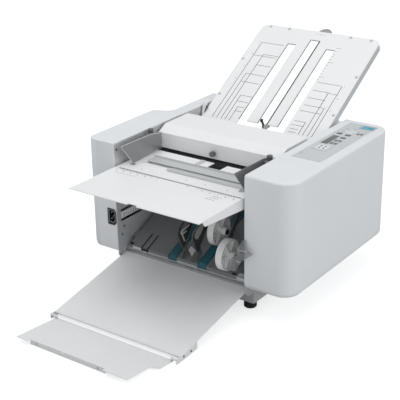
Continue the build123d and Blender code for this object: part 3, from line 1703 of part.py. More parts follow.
PARTS = {
    "base_pan": base_pan,
    "left_frame": lambda: side_frame(-1),
    "right_frame": lambda: side_frame(1),
    "tie_bars": tie_bars,
    "left_cover": left_cover,
    "right_cover": right_cover,
    "rear_cover": rear_cover,
    "feet": feet,
    "power_inlet": power_inlet,
    "hood": hood,
    "hood_thumb_screw": hood_thumb_screw,
    "thumb_screws": thumb_screws,
    "feed_table": feed_table,
    "skew_knob": skew_knob,
    "table_support": table_support,
    "sheet_lever": sheet_lever,
    "feed_roller": feed_roller,
    "separator_pad": separator_pad,
    "drive_motor": drive_motor,
    "motor_pulley": motor_pulley,
    "drive_belts": drive_belts,
    "fold_plate": fold_plate,
    "wing_left": lambda: wing(-1),
    "wing_right": lambda: wing(1),
    "cross_rail": cross_rail,
    "fold_stop": fold_stop,
    "lower_fold_plate": lower_fold_plate,
    "conveyor_deck": conveyor_deck,
    "conveyor_belts": conveyor_belts,
    "conveyor_front_shaft": lambda: belt_shaft(conveyor_front_place, frame_outer - hinge_gap),
    "conveyor_rear_shaft": conveyor_rear_shaft,
    "stacker_arm_inner": stacker_arm_inner,
    "stacker_arm_outer": stacker_arm_outer,
    "stacker_wheel_inner": lambda: stacker_wheel(inner_wheel_place, stacker_inner_x),
    "stacker_wheel_outer": lambda: stacker_wheel(outer_wheel_place, stacker_outer_x),
    "leaf_plates": leaf_plates,
    "clear_guide": clear_guide,
    "delivery_tray": delivery_tray,
    "tray_extension": tray_extension,
    "control_panel": control_panel,
    "display_window": display_window,
    "power_supply": power_supply,
    "circuit_board": circuit_board,
    "screws": screws,
}

for index, gear_phase in enumerate(gear_phases):
    PARTS["fold_roller_" + str(index + 1)] = lambda number=index: folding_roller(number)
    PARTS["fold_gear_" + str(index + 1)] = lambda number=index, turn=gear_phase: gear(number, turn)

for key_name, key_place in key_places.items():
    PARTS[key_name] = lambda place=key_place: key(*place)

for part_name, make in PARTS.items():
    save(part_name, make())
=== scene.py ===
# %% [markdown]
# # A desktop paper folding machine, dressed for its portrait
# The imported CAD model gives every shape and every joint. This notebook adds what a
# camera sees on top of that: finishes, printed scales, the film on the control panel
# and small trim. It works in metres, in the same frame as the CAD model.

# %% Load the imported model
import json
import math

import bmesh
import bpy
from mathutils import Matrix, Vector


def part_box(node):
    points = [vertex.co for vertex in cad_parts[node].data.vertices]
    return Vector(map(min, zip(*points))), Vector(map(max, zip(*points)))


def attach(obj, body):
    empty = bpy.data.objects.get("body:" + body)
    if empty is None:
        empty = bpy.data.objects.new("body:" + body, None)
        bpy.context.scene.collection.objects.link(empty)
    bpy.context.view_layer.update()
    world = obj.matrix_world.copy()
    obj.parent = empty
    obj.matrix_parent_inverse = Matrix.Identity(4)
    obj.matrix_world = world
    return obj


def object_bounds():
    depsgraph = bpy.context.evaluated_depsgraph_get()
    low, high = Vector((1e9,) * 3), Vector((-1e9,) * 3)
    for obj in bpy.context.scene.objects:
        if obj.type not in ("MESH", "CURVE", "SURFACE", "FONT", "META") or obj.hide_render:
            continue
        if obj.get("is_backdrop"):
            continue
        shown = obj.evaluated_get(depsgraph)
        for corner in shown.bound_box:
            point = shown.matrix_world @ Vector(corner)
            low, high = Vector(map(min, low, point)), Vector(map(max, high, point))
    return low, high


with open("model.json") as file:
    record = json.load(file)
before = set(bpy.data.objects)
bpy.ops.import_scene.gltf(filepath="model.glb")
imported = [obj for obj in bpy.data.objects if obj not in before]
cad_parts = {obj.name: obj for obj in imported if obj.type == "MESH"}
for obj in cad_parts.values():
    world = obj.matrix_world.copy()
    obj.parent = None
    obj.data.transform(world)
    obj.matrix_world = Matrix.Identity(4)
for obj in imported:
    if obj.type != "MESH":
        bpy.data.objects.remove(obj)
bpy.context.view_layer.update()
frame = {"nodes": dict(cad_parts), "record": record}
nodes = frame["nodes"]
print("pieces from the CAD model:", len(nodes))

# %% [markdown]
# ## The camera
# A camera could be moved about by hand until the picture looks right. Here its place
# was worked out from measured corners of the covers, because then every line of the
# model falls on its line in the photograph. It stands to the right of the machine and
# a little above it, far off with a long lens.

# %% Turn three angles into the camera's axes
MM = 0.001
CAMERA_YAW, CAMERA_PITCH, CAMERA_ROLL = 0.62688, 0.39528, -0.01664
CAMERA_PLACE = (1.27633, -1.89767, 1.11379)
LENS_MM, SENSOR_MM = 94.326, 36
forward = Vector((-math.sin(CAMERA_YAW) * math.cos(CAMERA_PITCH),
                  math.cos(CAMERA_YAW) * math.cos(CAMERA_PITCH), -math.sin(CAMERA_PITCH)))
level = Vector((math.cos(CAMERA_YAW), math.sin(CAMERA_YAW), 0))
upward = level.cross(forward)
right_way = level * math.cos(CAMERA_ROLL) + upward * math.sin(CAMERA_ROLL)
up_way = upward * math.cos(CAMERA_ROLL) - level * math.sin(CAMERA_ROLL)
camera_axes = Matrix((right_way, up_way, -forward)).transposed().to_4x4()
print("the camera looks along:", [round(v, 2) for v in forward])

# %% Place the camera
lens_data = bpy.data.cameras.new("portrait_camera")
lens_data.sensor_width = SENSOR_MM
lens_data.lens = LENS_MM
lens_data.clip_start, lens_data.clip_end = 0.05, 60
camera = bpy.data.objects.new("portrait_camera", lens_data)
camera.matrix_world = Matrix.Translation(CAMERA_PLACE) @ camera_axes
bpy.context.scene.collection.objects.link(camera)
bpy.context.scene.camera = camera
print("camera to machine in metres:", round(camera.location.length, 2))

# %% [markdown]
# ## The sky
# A product picture has an even white background. A strong white world would do it,
# but it would wash out the machine too. So the camera sees a plain white world, and
# everything else is lit by a weaker, slightly blue glow.

# %% Glow softly from all sides
scene = bpy.context.scene
scene.view_settings.view_transform = "Standard"


def node_of(tree, kind, **inputs):
    """Add a node and set its own sockets by name."""
    node = tree.nodes.new(kind)
    for key, value in inputs.items():
        node.inputs[key.replace("_", " ")].default_value = value
    return node


world = bpy.data.worlds.new("soft_sky")
scene.world = world
world.use_nodes = True
sky = world.node_tree
sky.nodes.clear()
seen = node_of(sky, "ShaderNodeBackground", Color=(1, 1, 1, 1), Strength=1.0)
glow = node_of(sky, "ShaderNodeBackground", Color=(0.94, 0.97, 1.0, 1), Strength=0.50)
path = sky.nodes.new("ShaderNodeLightPath")
choose = sky.nodes.new("ShaderNodeMixShader")
out = sky.nodes.new("ShaderNodeOutputWorld")
sky.links.new(path.outputs["Is Camera Ray"], choose.inputs[0])
sky.links.new(glow.outputs[0], choose.inputs[1])
sky.links.new(seen.outputs[0], choose.inputs[2])
sky.links.new(choose.outputs[0], out.inputs[0])
print("the sky's glow:", glow.inputs["Strength"].default_value)

# %% [markdown]
# ## The lamps
# Point lamps give hard shadows, and the real set was lit by wide soft boxes, so these
# are large squares of light. The brightest one hangs overhead and the next one stands
# on the right. The one in front is weak: the machine's front is its darkest side.


# %% Hang three soft boxes
def lamp(name, place, target, size, power, tint):
    """Soft square lamp that looks at a point."""
    data = bpy.data.lights.new(name, "AREA")
    data.size, data.energy, data.color = size, power, tint
    made = bpy.data.objects.new(name, data)
    aim = Vector(target) - Vector(place)
    made.matrix_world = Matrix.Translation(place) @ aim.to_track_quat("-Z", "Y").to_matrix().to_4x4()
    scene.collection.objects.link(made)


lamp("top_lamp", (-0.4, -0.5, 2.9), (0.0, -0.15, 0.2), 2.4, 34, (1.0, 1.0, 1.0))
lamp("right_lamp", (2.9, 0.3, 1.4), (0.1, 0.0, 0.2), 1.6, 19, (0.97, 0.99, 1.0))
lamp("front_lamp", (1.9, -2.3, 0.6), (0.05, -0.2, 0.15), 1.2, 4.2, (0.99, 0.99, 1.0))

# %% [markdown]
# ## The floor
# The floor only has to hold the soft shadow. It is a sheet far larger than the view.
# Its paint reflects about half of the light onto the machine's lower sides, and for
# the camera alone a little light is added, so that it fades into the white sky.

# %% Lay the floor
FLOOR_HALF = 14
floor_mesh = bpy.data.meshes.new("floor")
floor_mesh.from_pydata([(-FLOOR_HALF, -FLOOR_HALF, 0), (FLOOR_HALF, -FLOOR_HALF, 0),
                        (FLOOR_HALF, FLOOR_HALF, 0), (-FLOOR_HALF, FLOOR_HALF, 0)], [], [(0, 1, 2, 3)])
floor = bpy.data.objects.new("floor", floor_mesh)
scene.collection.objects.link(floor)
floor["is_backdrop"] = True
print("floor's side in metres:", 2 * FLOOR_HALF)

# %% Paint the floor
floor_paint = bpy.data.materials.new("floor_paint")
floor_paint.use_nodes = True
tree = floor_paint.node_tree
floor_shader = tree.nodes["Principled BSDF"]
floor_shader.inputs["Base Color"].default_value = (0.60, 0.60, 0.60, 1)
floor_shader.inputs["Roughness"].default_value = 0.9
seen = node_of(tree, "ShaderNodeEmission", Color=(1, 1, 1, 1), Strength=0.70)
both = tree.nodes.new("ShaderNodeAddShader")
path = tree.nodes.new("ShaderNodeLightPath")
choose = tree.nodes.new("ShaderNodeMixShader")
tree.links.new(floor_shader.outputs[0], both.inputs[0])
tree.links.new(seen.outputs[0], both.inputs[1])
tree.links.new(path.outputs["Is Camera Ray"], choose.inputs[0])
tree.links.new(floor_shader.outputs[0], choose.inputs[1])
tree.links.new(both.outputs[0], choose.inputs[2])
tree.links.new(choose.outputs[0], tree.nodes["Material Output"].inputs["Surface"])
floor_mesh.materials.append(floor_paint)
print("floor painted, extra light for the camera:", seen.inputs["Strength"].default_value)

# %% [markdown]
# ## A recipe for finishes
# A plain colour looks like a drawing, because no real surface is the same all over.
# Image textures could help, but they tie the look to one size. So each finish is a
# small recipe of noise: a slow one shifts the colour a little, and a fine one varies
# the gloss and raises the grain that powder coat, moulded plastic, rubber or ground
# steel has. All of them follow the object's own coordinates.

# %% Write the recipe
finishes = {}


def finish_of(name, color, rough, metal=0.0, grain=900.0, relief=0.1, drift=0.05,
              stretch=(1, 1, 1), wear=0.06, **extra):
    """Procedural finish: drifting colour, varied gloss and a fine relief."""
    made = bpy.data.materials.new(name)
    made.use_nodes = True
    tree = made.node_tree
    shader = tree.nodes["Principled BSDF"]
    shader.inputs["Metallic"].default_value = metal
    for key, value in extra.items():
        shader.inputs[key.replace("_", " ")].default_value = value
    place = tree.nodes.new("ShaderNodeTexCoord")
    scale = node_of(tree, "ShaderNodeMapping", Scale=stretch)
    tree.links.new(place.outputs["Object"], scale.inputs["Vector"])
    slow = node_of(tree, "ShaderNodeTexNoise", Scale=9.0, Detail=3.0)
    tree.links.new(scale.outputs[0], slow.inputs["Vector"])
    ramp = tree.nodes.new("ShaderNodeValToRGB")
    ramp.color_ramp.elements[0].position = 0.3
    ramp.color_ramp.elements[1].position = 0.7
    ramp.color_ramp.elements[0].color = (*[c * (1 - drift) for c in color], 1)
    ramp.color_ramp.elements[1].color = (*[min(1, c * (1 + drift)) for c in color], 1)
    tree.links.new(slow.outputs["Fac"], ramp.inputs["Fac"])
    tree.links.new(ramp.outputs["Color"], shader.inputs["Base Color"])
    fine = node_of(tree, "ShaderNodeTexNoise", Scale=grain, Detail=2.0)
    tree.links.new(scale.outputs[0], fine.inputs["Vector"])
    gloss = node_of(tree, "ShaderNodeMapRange")
    gloss.inputs["To Min"].default_value = max(0.02, rough - wear)
    gloss.inputs["To Max"].default_value = min(1.0, rough + wear)
    tree.links.new(fine.outputs["Fac"], gloss.inputs["Value"])
    tree.links.new(gloss.outputs["Result"], shader.inputs["Roughness"])
    bump = node_of(tree, "ShaderNodeBump", Strength=relief, Distance=0.0004)
    tree.links.new(fine.outputs["Fac"], bump.inputs["Height"])
    tree.links.new(bump.outputs["Normal"], shader.inputs["Normal"])
    finishes[name] = made


print("recipe ready")

# %% [markdown]
# ## Painted covers and sheet metal
# The covers are moulded in a cool white with a fine grain, and the sheets are powder
# coated in a warmer one. Inside, the steel is plated or painted dark. Part of each
# plated finish is metal, which keeps it grey under a white sky.

# %% Mix paint and plating
finish_of("cover_white", (0.84, 0.85, 0.86), 0.42, grain=1400, relief=0.12, drift=0.012)
finish_of("sheet_white", (0.92, 0.92, 0.92), 0.38, grain=700, relief=0.10, drift=0.012)
finish_of("tray_white", (0.86, 0.865, 0.865), 0.30, grain=700, relief=0.08, drift=0.015)
finish_of("frame_grey", (0.56, 0.56, 0.56), 0.40, grain=700, relief=0.08, drift=0.03)
finish_of("frame_zinc", (0.30, 0.305, 0.31), 0.36, 0.45, grain=260, relief=0.06, drift=0.10)
# also used for the painted highlights on the rail, the fold stop and the wings' edges
finish_of("strip_zinc", (0.66, 0.67, 0.67), 0.34, 0.2, grain=260, relief=0.06, drift=0.10)
finish_of("deck_plate_grey", (0.24, 0.245, 0.25), 0.32, 0.5, grain=260, relief=0.06, drift=0.15)
finish_of("deck_dark", (0.22, 0.225, 0.23), 0.34, grain=600, relief=0.10, drift=0.08)
finish_of("motor_paint", (0.04, 0.04, 0.045), 0.40, grain=600, relief=0.08, drift=0.08)
print("paints and platings:", len(finishes))

# %% [markdown]
# ## Bright metal
# Ground and turned steel has its grain in one direction. Stretching the noise along
# the part gives that brushed look without a texture.

# %% Mix the bright metals
finish_of("bright_steel", (0.62, 0.63, 0.64), 0.24, 0.9, grain=500, relief=0.05, drift=0.06,
          stretch=(0.08, 1, 1))
finish_of("rivet_steel", (0.50, 0.50, 0.51), 0.30, 0.6, grain=500, relief=0.05, drift=0.06)
finish_of("screw_dark", (0.12, 0.12, 0.125), 0.32, 0.7, grain=500, relief=0.05, drift=0.08)
finish_of("polished_leaf", (0.075, 0.077, 0.077), 0.30, 0.35, grain=200, relief=0.02, drift=0.12)
# pale grey of the painted highlights and shine on the leaves
finish_of("leaf_painted_highlight", (0.42, 0.42, 0.40), 0.30, 0.25, grain=200, relief=0.02, drift=0.16)
# pale; the hook on the left leaf uses it as a painted highlight
finish_of("leaf_glint", (0.86, 0.85, 0.81), 0.30, 0.10, grain=200, relief=0.02, drift=0.05)
finish_of("chrome_knob", (0.20, 0.20, 0.205), 0.30, 0.6, grain=400, relief=0.03, drift=0.04)
finish_of("knob_grey", (0.36, 0.365, 0.36), 0.36, grain=900, relief=0.06, drift=0.06)
finish_of("gear_steel", (0.36, 0.37, 0.38), 0.32, 0.9, grain=500, relief=0.06, drift=0.08)
finish_of("aluminium_rail", (0.68, 0.69, 0.69), 0.36, 0.25, grain=420, relief=0.05, drift=0.05,
          stretch=(0.05, 1, 1))
print("with the bright metals:", len(finishes))

# %% [markdown]
# ## Rubber, belts and plastics
# Rubber is dull and dark, the conveyor belts are a dark teal weave, and the spoked
# wheels are white nylon. The clear guide lets the wheel behind it shine through. Real
# refraction is slow and would hide it, so the sheet is simply half transparent.

# %% Mix rubber and plastics
finish_of("roller_rubber", (0.05, 0.05, 0.055), 0.62, grain=900, relief=0.16, drift=0.10)
finish_of("belt_black", (0.02, 0.02, 0.02), 0.66, grain=900, relief=0.14, drift=0.12)
finish_of("belt_teal", (0.022, 0.125, 0.165), 0.55, grain=1100, relief=0.20, drift=0.10)
finish_of("black_rubber", (0.012, 0.013, 0.014), 0.60, grain=900, relief=0.16, drift=0.12)
finish_of("black_plastic", (0.014, 0.015, 0.017), 0.38, grain=1500, relief=0.14, drift=0.10)
finish_of("wheel_white", (0.95, 0.95, 0.93), 0.40, grain=1200, relief=0.08, drift=0.03)
finish_of("clear_plastic", (0.34, 0.35, 0.355), 0.14, grain=300, relief=0.01, drift=0.02,
          Alpha=0.40, IOR=1.45)
# pale, for the painted highlights on the clear guide's bends
finish_of("clear_bend_highlight", (0.62, 0.64, 0.645), 0.20, grain=300, relief=0.01, drift=0.02)
finish_of("base_zinc", (0.60, 0.61, 0.615), 0.38, 0.15, grain=260, relief=0.06, drift=0.08)
finish_of("arm_dark", (0.10, 0.105, 0.11), 0.36, 0.4, grain=400, relief=0.05, drift=0.10)
# grey of the painted shade on the table's rim
finish_of("rim_painted_shade_grey", (0.60, 0.605, 0.61), 0.42, grain=700, relief=0.08, drift=0.03)
finish_of("board_green", (0.01, 0.12, 0.05), 0.30, grain=500, relief=0.06, drift=0.15)
print("with rubber and plastics:", len(finishes))

# %% [markdown]
# ## Panel, keys and ink
# The panel is a printed film with raised keys. Ink is matt and thin, in three greys,
# so that fine print can be paler than the main lines.

# %% Mix panel colours and ink
finish_of("panel_grey", (0.62, 0.64, 0.655), 0.42, grain=1600, relief=0.06, drift=0.02)
finish_of("display_glass", (0.11, 0.115, 0.11), 0.12, grain=600, relief=0.01, drift=0.05)
finish_of("key_blue", (0.12, 0.46, 0.58), 0.42, grain=1400, relief=0.06, drift=0.03)
finish_of("key_deep_blue", (0.03, 0.20, 0.30), 0.42, grain=1400, relief=0.06, drift=0.03)
finish_of("key_dark", (0.13, 0.14, 0.15), 0.42, grain=1400, relief=0.06, drift=0.05)
finish_of("key_grey", (0.50, 0.52, 0.53), 0.42, grain=1400, relief=0.06, drift=0.04)
finish_of("key_white", (0.86, 0.87, 0.87), 0.42, grain=1400, relief=0.06, drift=0.02)
finish_of("print_dark", (0.03, 0.032, 0.034), 0.60, grain=1500, relief=0.03, drift=0.08)
finish_of("print_grey", (0.12, 0.125, 0.13), 0.60, grain=1500, relief=0.03, drift=0.08)
finish_of("print_light", (0.40, 0.41, 0.42), 0.60, grain=1500, relief=0.03, drift=0.06)
# grey of the painted shade in the fold plate's groove
finish_of("groove_shade_grey", (0.33, 0.335, 0.34), 0.40, 0.2, grain=900, relief=0.05, drift=0.05)
print("finishes:", len(finishes))

# %% [markdown]
# ## Dress the CAD pieces
# Every node takes the finish of its material slot, and a few that look different on
# the real machine have one of their own. Folded sheet metal and moulded covers never
# have razor edges. A bevel modifier softens them and leaves the CAD mesh as it is.

# %% Paint the nodes and soften their edges
soft_edges = {
    "left_cover": 0.8, "right_cover": 0.8, "hood": 0.5, "feed_table": 0.5, "fold_plate": 0.4,
    "delivery_tray": 0.4, "tray_extension": 0.4, "cross_rail": 0.4, "wing_left": 0.4,
    "wing_right": 0.4, "power_inlet": 0.3, "control_panel": 0.3, "base_pan": 0.4,
}
own_finish = {"base_pan": "base_zinc", "table_support": "sheet_white", "stacker_arm_outer": "arm_dark",
              "stacker_arm_inner": "arm_dark", "arrow_pad": "panel_grey"}
for entry in frame["record"]["subparts"]:
    node = nodes[entry["node"]]
    node.data.materials.clear()
    node.data.materials.append(finishes[own_finish.get(entry["node"], entry["material_slot"])])
    if entry["node"] in soft_edges:
        weld = node.modifiers.new("weld", "WELD")
        weld.merge_threshold = 0.00002
        bevel = node.modifiers.new("soft_edges", "BEVEL")
        bevel.width = soft_edges[entry["node"]] * MM
        bevel.segments = 2
        bevel.limit_method = "ANGLE"
        bevel.angle_limit = math.radians(50)
        bevel.harden_normals = True
print("softened:", len(soft_edges))

# %% [markdown]
# ## Drawing planes
# Thin prints, rivets, clips and trim sit on faces that the CAD model fixes. Placing
# each by hand in metres would be slow, so every face gets a drawing plane of its own:
# a matrix that turns flat millimetres, and a height above the face, into the scene.

# %% Make a drawing plane
INK = 0.12
SUNK = 0.05


def plane_at(origin, across, along):
    """Drawing plane in millimetres. Its third direction is across times along."""
    u = Vector(across).normalized()
    w = Vector(along).normalized()
    turned = Matrix((u, w, u.cross(w))).transposed().to_4x4()
    return Matrix.Translation(Vector(origin) * MM) @ turned @ Matrix.Scale(MM, 4)


print("ink stands", INK, "mm proud and reaches", SUNK, "mm into its face")

# %% [markdown]
# ## Plates, rings and strokes
# Most of the small work is flat. An outline raised between two heights makes a closed
# plate, two outlines make a ring, and a long thin plate makes a line of ink. Closed
# solids are used even for ink, because a loose sheet has no back side.


# %% Raise outlines into plates
def plate(draft, plane, outline, low, high):
    """Closed plate over an outline, between two heights above a plane."""
    floor_ring = [draft.verts.new(plane @ Vector((u, w, low))) for u, w in outline]
    roof_ring = [draft.verts.new(plane @ Vector((u, w, high))) for u, w in outline]
    draft.faces.new(floor_ring[::-1])
    draft.faces.new(roof_ring)
    for i in range(len(outline)):
        j = (i + 1) % len(outline)
        draft.faces.new((floor_ring[i], floor_ring[j], roof_ring[j], roof_ring[i]))


print("plates ready")


# %% Raise rings and strokes
def framed(draft, plane, outer, inner, low, high):
    """Closed ring between two outlines that have as many corners each."""
    rings = [[draft.verts.new(plane @ Vector((u, w, lift))) for u, w in outline]
             for outline, lift in ((outer, low), (outer, high), (inner, high), (inner, low))]
    for k in range(4):
        first, second = rings[k], rings[(k + 1) % 4]
        for i in range(len(outer)):
            j = (i + 1) % len(outer)
            draft.faces.new((first[i], first[j], second[j], second[i]))


def stroke(draft, plane, start, end, width, high=INK):
    """Straight line of ink from one point to another."""
    a, b = Vector(start), Vector(end)
    side = (b - a).normalized().orthogonal() * width / 2
    plate(draft, plane, [a - side, b - side, b + side, a + side], -SUNK, high)


print("rings and strokes ready")

# %% [markdown]
# ## Turned forms and outlines
# Rivets, screws, washers and hub clips are round, and a lathe makes them. The helper
# does the same: it turns a profile of radius and height round an axis. Two more give
# plain and rounded rectangles as lists of corners.


# %% Turn profiles
def turned(draft, plane, middle, profile, steps=24):
    """Profile of radius and height, turned round an axis that stands on the plane."""
    rings = []
    for radius, height in profile:
        if radius == 0:
            rings.append([draft.verts.new(plane @ Vector((*middle, height)))])
            continue
        angles = [2 * math.pi * i / steps for i in range(steps)]
        rings.append([draft.verts.new(plane @ Vector((middle[0] + radius * math.cos(a),
                                                      middle[1] + radius * math.sin(a), height)))
                      for a in angles])
    for first, second in zip(rings, rings[1:]):
        for i in range(steps):
            j = (i + 1) % steps
            corners = [first[i % len(first)], first[j % len(first)],
                       second[j % len(second)], second[i % len(second)]]
            draft.faces.new(list(dict.fromkeys(corners)))


print("lathe ready")


# %% Draw rectangles
def rectangle(left, right, front, back):
    """Corners of a plain rectangle, counter-clockwise."""
    return [(left, front), (right, front), (right, back), (left, back)]


def rounded(left, right, front, back, radius, steps=5):
    """Rectangle with round corners, counter-clockwise."""
    points = []
    for u, w, start in ((right, front, -90), (right, back, 0), (left, back, 90), (left, front, 180)):
        cu = u - radius if u == right else u + radius
        cw = w - radius if w == back else w + radius
        for i in range(steps + 1):
            angle = math.radians(start + 90 * i / steps)
            points.append((cu + radius * math.cos(angle), cw + radius * math.sin(angle)))
    return points


print("corners of a rounded rectangle:", len(rounded(0, 10, 0, 5, 1)))

# %% [markdown]
# ## From a draft to a named piece
# A finished draft becomes an object with a name, a finish and a body to ride on, so
# that a print on the tray swings with the tray. Numerals come from a font curve that
# is turned into a closed mesh, which saves drawing each digit.

# %% Make named pieces
made_pieces = []


def piece(name, body, finish, draft, smooth=False):
    """Turn a draft into a named piece that rides on a body."""
    bmesh.ops.recalc_face_normals(draft, faces=draft.faces)
    mesh = bpy.data.meshes.new(name)
    draft.to_mesh(mesh)
    draft.free()
    made = bpy.data.objects.new(name, mesh)
    scene.collection.objects.link(made)
    mesh.materials.append(finishes[finish])
    if smooth:
        mesh.shade_smooth()
        mesh.set_sharp_from_angle(angle=math.radians(35))
    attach(made, body)
    made_pieces.append(name)


print("pieces can be named")


# %% Make printed numbers
def numerals(name, body, finish, plane, labels, size):
    """Printed numbers, each given with the middle of its place."""
    draft = bmesh.new()
    for text, (u, w), turn in labels:
        curve = bpy.data.curves.new("numeral", "FONT")
        curve.body, curve.size = text, size
        curve.align_x, curve.align_y = "CENTER", "CENTER"
        curve.extrude = (INK + SUNK) / 2
        curve.resolution_u = 3
        holder = bpy.data.objects.new("numeral", curve)
        mesh = bpy.data.meshes.new_from_object(holder)
        place = plane @ Matrix.Translation((u, w, (INK - SUNK) / 2)) @ Matrix.Rotation(turn, 4, "Z")
        mesh.transform(place)
        draft.from_mesh(mesh)
        bpy.data.meshes.remove(mesh)
        bpy.data.objects.remove(holder)
        bpy.data.curves.remove(curve)
    bmesh.ops.remove_doubles(draft, verts=draft.verts, dist=0.000001)
    piece(name, body, finish, draft)


print("numbers can be printed")

# %% [markdown]
# ## The feed table's plane
# The table leans back, so its print can't be placed by height alone. The plane could
# be typed in, but the mesh already knows it: the highest corner of the table lies on
# the top edge of its face. The drawing plane starts there, and its second direction
# climbs the slope, so places down the table are negative.

# %% Find the table's plane
TABLE_SLOPE = math.radians(31.3)
table = nodes["feed_table"]
table_peak = max((table.matrix_world @ vertex.co for vertex in table.data.vertices), key=lambda p: p.z)
table_edge = Vector((0, table_peak.y / MM, table_peak.z / MM))
table_up = (0, math.cos(TABLE_SLOPE), math.sin(TABLE_SLOPE))
table_plane = plane_at(table_edge, (1, 0, 0), table_up)
print("table's top edge in millimetres:", [round(v, 1) for v in table_edge])

# %% [markdown]
# ## The chart
# The real table is white steel with a screen-printed chart: upright lines for paper
# widths, short cross lines for fold lengths, and ticks beside the right slot. A
# texture would need pixels, so every line is a thin plate of ink on the steel. Each
# line is listed with its distances from the top edge.

# %% Print the upright lines
CHART_END = 331
UPRIGHT_INK, CROSSING_INK, TICK_INK = 1.3, 1.1, 0.9
left_uprights = [(-140.5, 65), (-127.5, 176), (-114.5, 106), (-102.6, 248), (-90.3, 286)]
right_uprights = [(140.5, 167), (129.5, 243), (116.5, 193), (105, 294)]
draft = bmesh.new()
for x, start in left_uprights + right_uprights:
    stroke(draft, table_plane, (x, -start), (x, -CHART_END), UPRIGHT_INK)
piece("table_chart_uprights", "feed_table", "print_dark", draft)
print("upright lines:", len(left_uprights + right_uprights))

# %% Print the cross lines, the ticks and the skew marks
left_crossings = [(65, -141, -75), (105, -115, -70), (111.5, -141, -73), (143, -115, -72),
                  (176, -128, -71), (204, -127, -71), (248, -103, -68), (268, -103, -71),
                  (285, -91, -71), (299, -91, -71)]
right_crossings = [(165, 73, 140), (192, 74, 120), (194, 120, 142), (217, 73, 120), (241, 74, 131),
                   (260, 74, 131), (293, 75, 107), (306, 73, 104), (318, 76, 97), (328, 76, 96)]
FIRST_TICK, TICK_STEP, TICKS = 47, 10, 12
TICK_LEFT, TICK_RIGHT, LONG_TICK_RIGHT = 67.5, 72.5, 75.5
draft = bmesh.new()
for run, x0, x1 in left_crossings + right_crossings:
    stroke(draft, table_plane, (x0, -run), (x1, -run), CROSSING_INK)
for i in range(TICKS):
    run = FIRST_TICK + TICK_STEP * i
    end = TICK_RIGHT if i % 5 else LONG_TICK_RIGHT
    stroke(draft, table_plane, (TICK_LEFT, -run), (end, -run), TICK_INK)
for i in range(5):
    stroke(draft, table_plane, (-8 + 6 * i, -9), (-8 + 6 * i, -12.5 if i == 2 else -11), 1.0)
piece("table_chart_crossings", "feed_table", "print_grey", draft)
print("cross lines:", len(left_crossings + right_crossings))

# %% Print the chart's numbers
numbers = [(str(i + 3), (79.5, -FIRST_TICK - 5 * TICK_STEP * i), 0) for i in range(3)]
numbers += [(str(i + 1), (-147, -62 - 45 * i), 0) for i in range(4)]
numbers += [(str(i + 1), (147, -166 - 40 * i), 0) for i in range(3)]
numerals("table_chart_numbers", "feed_table", "print_grey", table_plane, numbers, 5.5)
print("numbers on the table:", len(numbers))

# %% [markdown]
# ## Slot edging
# The three slots are punched, and their cut edges show as fine dark lines. A darker
# material on the CAD faces would need the mesh to be split, so the lines are laid
# beside the slots. The middle slot also has a wide one, the rail that the sheet lever
# runs in.

# %% Line the slots with dark edging
SLOT_END, EDGE_OUT, EDGE_HIGH = 322, 0.6, 0.3
LEVER_RAIL_X, LEVER_RAIL_START, LEVER_RAIL_WIDTH = 13.2, 32, 3.0
slots = ((-11.7, 32.5, 11.7), (-66, 56.5, -44), (44, 56.5, 66))
draft = bmesh.new()
for left, start, right in slots:
    x, y = left - EDGE_OUT, -start + EDGE_OUT
    stroke(draft, table_plane, (x, -start + 1), (x, -SLOT_END), 1.3, EDGE_HIGH)
    stroke(draft, table_plane, (left, y), (right, y), 0.9, EDGE_HIGH)
stroke(draft, table_plane, (LEVER_RAIL_X, -LEVER_RAIL_START), (LEVER_RAIL_X, -SLOT_END),
       LEVER_RAIL_WIDTH, 0.5)
piece("slot_edging", "feed_table", "print_dark", draft)
print("slots edged:", len(slots))

# %% [markdown]
# ## Rivets
# A rivet is a low dome on a thin rim, so its profile is turned round an axis. Where
# the CAD model already holds a rivet, this cap lies on it and gives the round head.

# %% Set rivet caps on the table
RIVET = [(0, 0), (3.4, 0), (3.4, 0.7), (2.6, 1.3), (1.4, 1.6), (0, 1.7)]
draft = bmesh.new()
rivet_places = [(-144.3, -6.5), (-88.5, -6.5), (88.5, -6.5), (144.3, -6.5), (-161.8, -130),
                (-161.8, -256), (161.8, -130), (161.8, -256)]
for place in rivet_places:
    turned(draft, table_plane, place, RIVET)
piece("table_rivet_caps", "feed_table", "rivet_steel", draft, smooth=True)
print("rivets:", len(rivet_places))

# %% [markdown]
# ## The table's rim and bracket
# The sheet's rim is folded down, and a grey band on its outer face is painted shade that makes the side
# darker than the top.
# A small white bracket stands at the low left edge and holds the table, with a painted shadow beside it as a
# dark plate.
# Both are flat, so plates on the table's side do.

# %% Paint shade on the table's rim
TABLE_HALF = 168.5
rim_plane = plane_at(table_edge + Vector((TABLE_HALF, 0, 0)), table_up,
                     (0, -math.sin(TABLE_SLOPE), math.cos(TABLE_SLOPE)))
draft = bmesh.new()
# a grey band on the rim's outer face: painted shade, darker than the top
plate(draft, rim_plane, rectangle(-352, -17, -17.6, -1.2), -SUNK, 0.3)
piece("table_rim_painted_shade", "feed_table", "rim_painted_shade_grey", draft)
print("rim band made")

# %% Stand the bracket at the table's edge
BRACKET_OUT = 2.6
draft = bmesh.new()
table_side = plane_at((-TABLE_HALF, 0, 0), (0, 1, 0), (0, 0, 1))
bracket = [(110, 298), (124, 304), (135.2, 331.8), (128.5, 336.0), (119.9, 336.0)]
plate(draft, table_side, bracket, -BRACKET_OUT, 0.1)
turned(draft, table_side, (124.2, 337.5), [(0, -BRACKET_OUT), (3.2, -BRACKET_OUT), (3.2, 0.6), (0, 0.6)], 16)
piece("table_catch", "feed_table", "key_white", draft)
draft = bmesh.new()
# a dark plate beside the bracket: a painted shadow
plate(draft, table_side, [(130.3, 329.1), (136.6, 325.4), (126.9, 309.8), (120.2, 313.7)], 0.0, 1.2)
piece("table_catch_shade", "feed_table", "arm_dark", draft)
print("bracket's corners:", len(bracket))
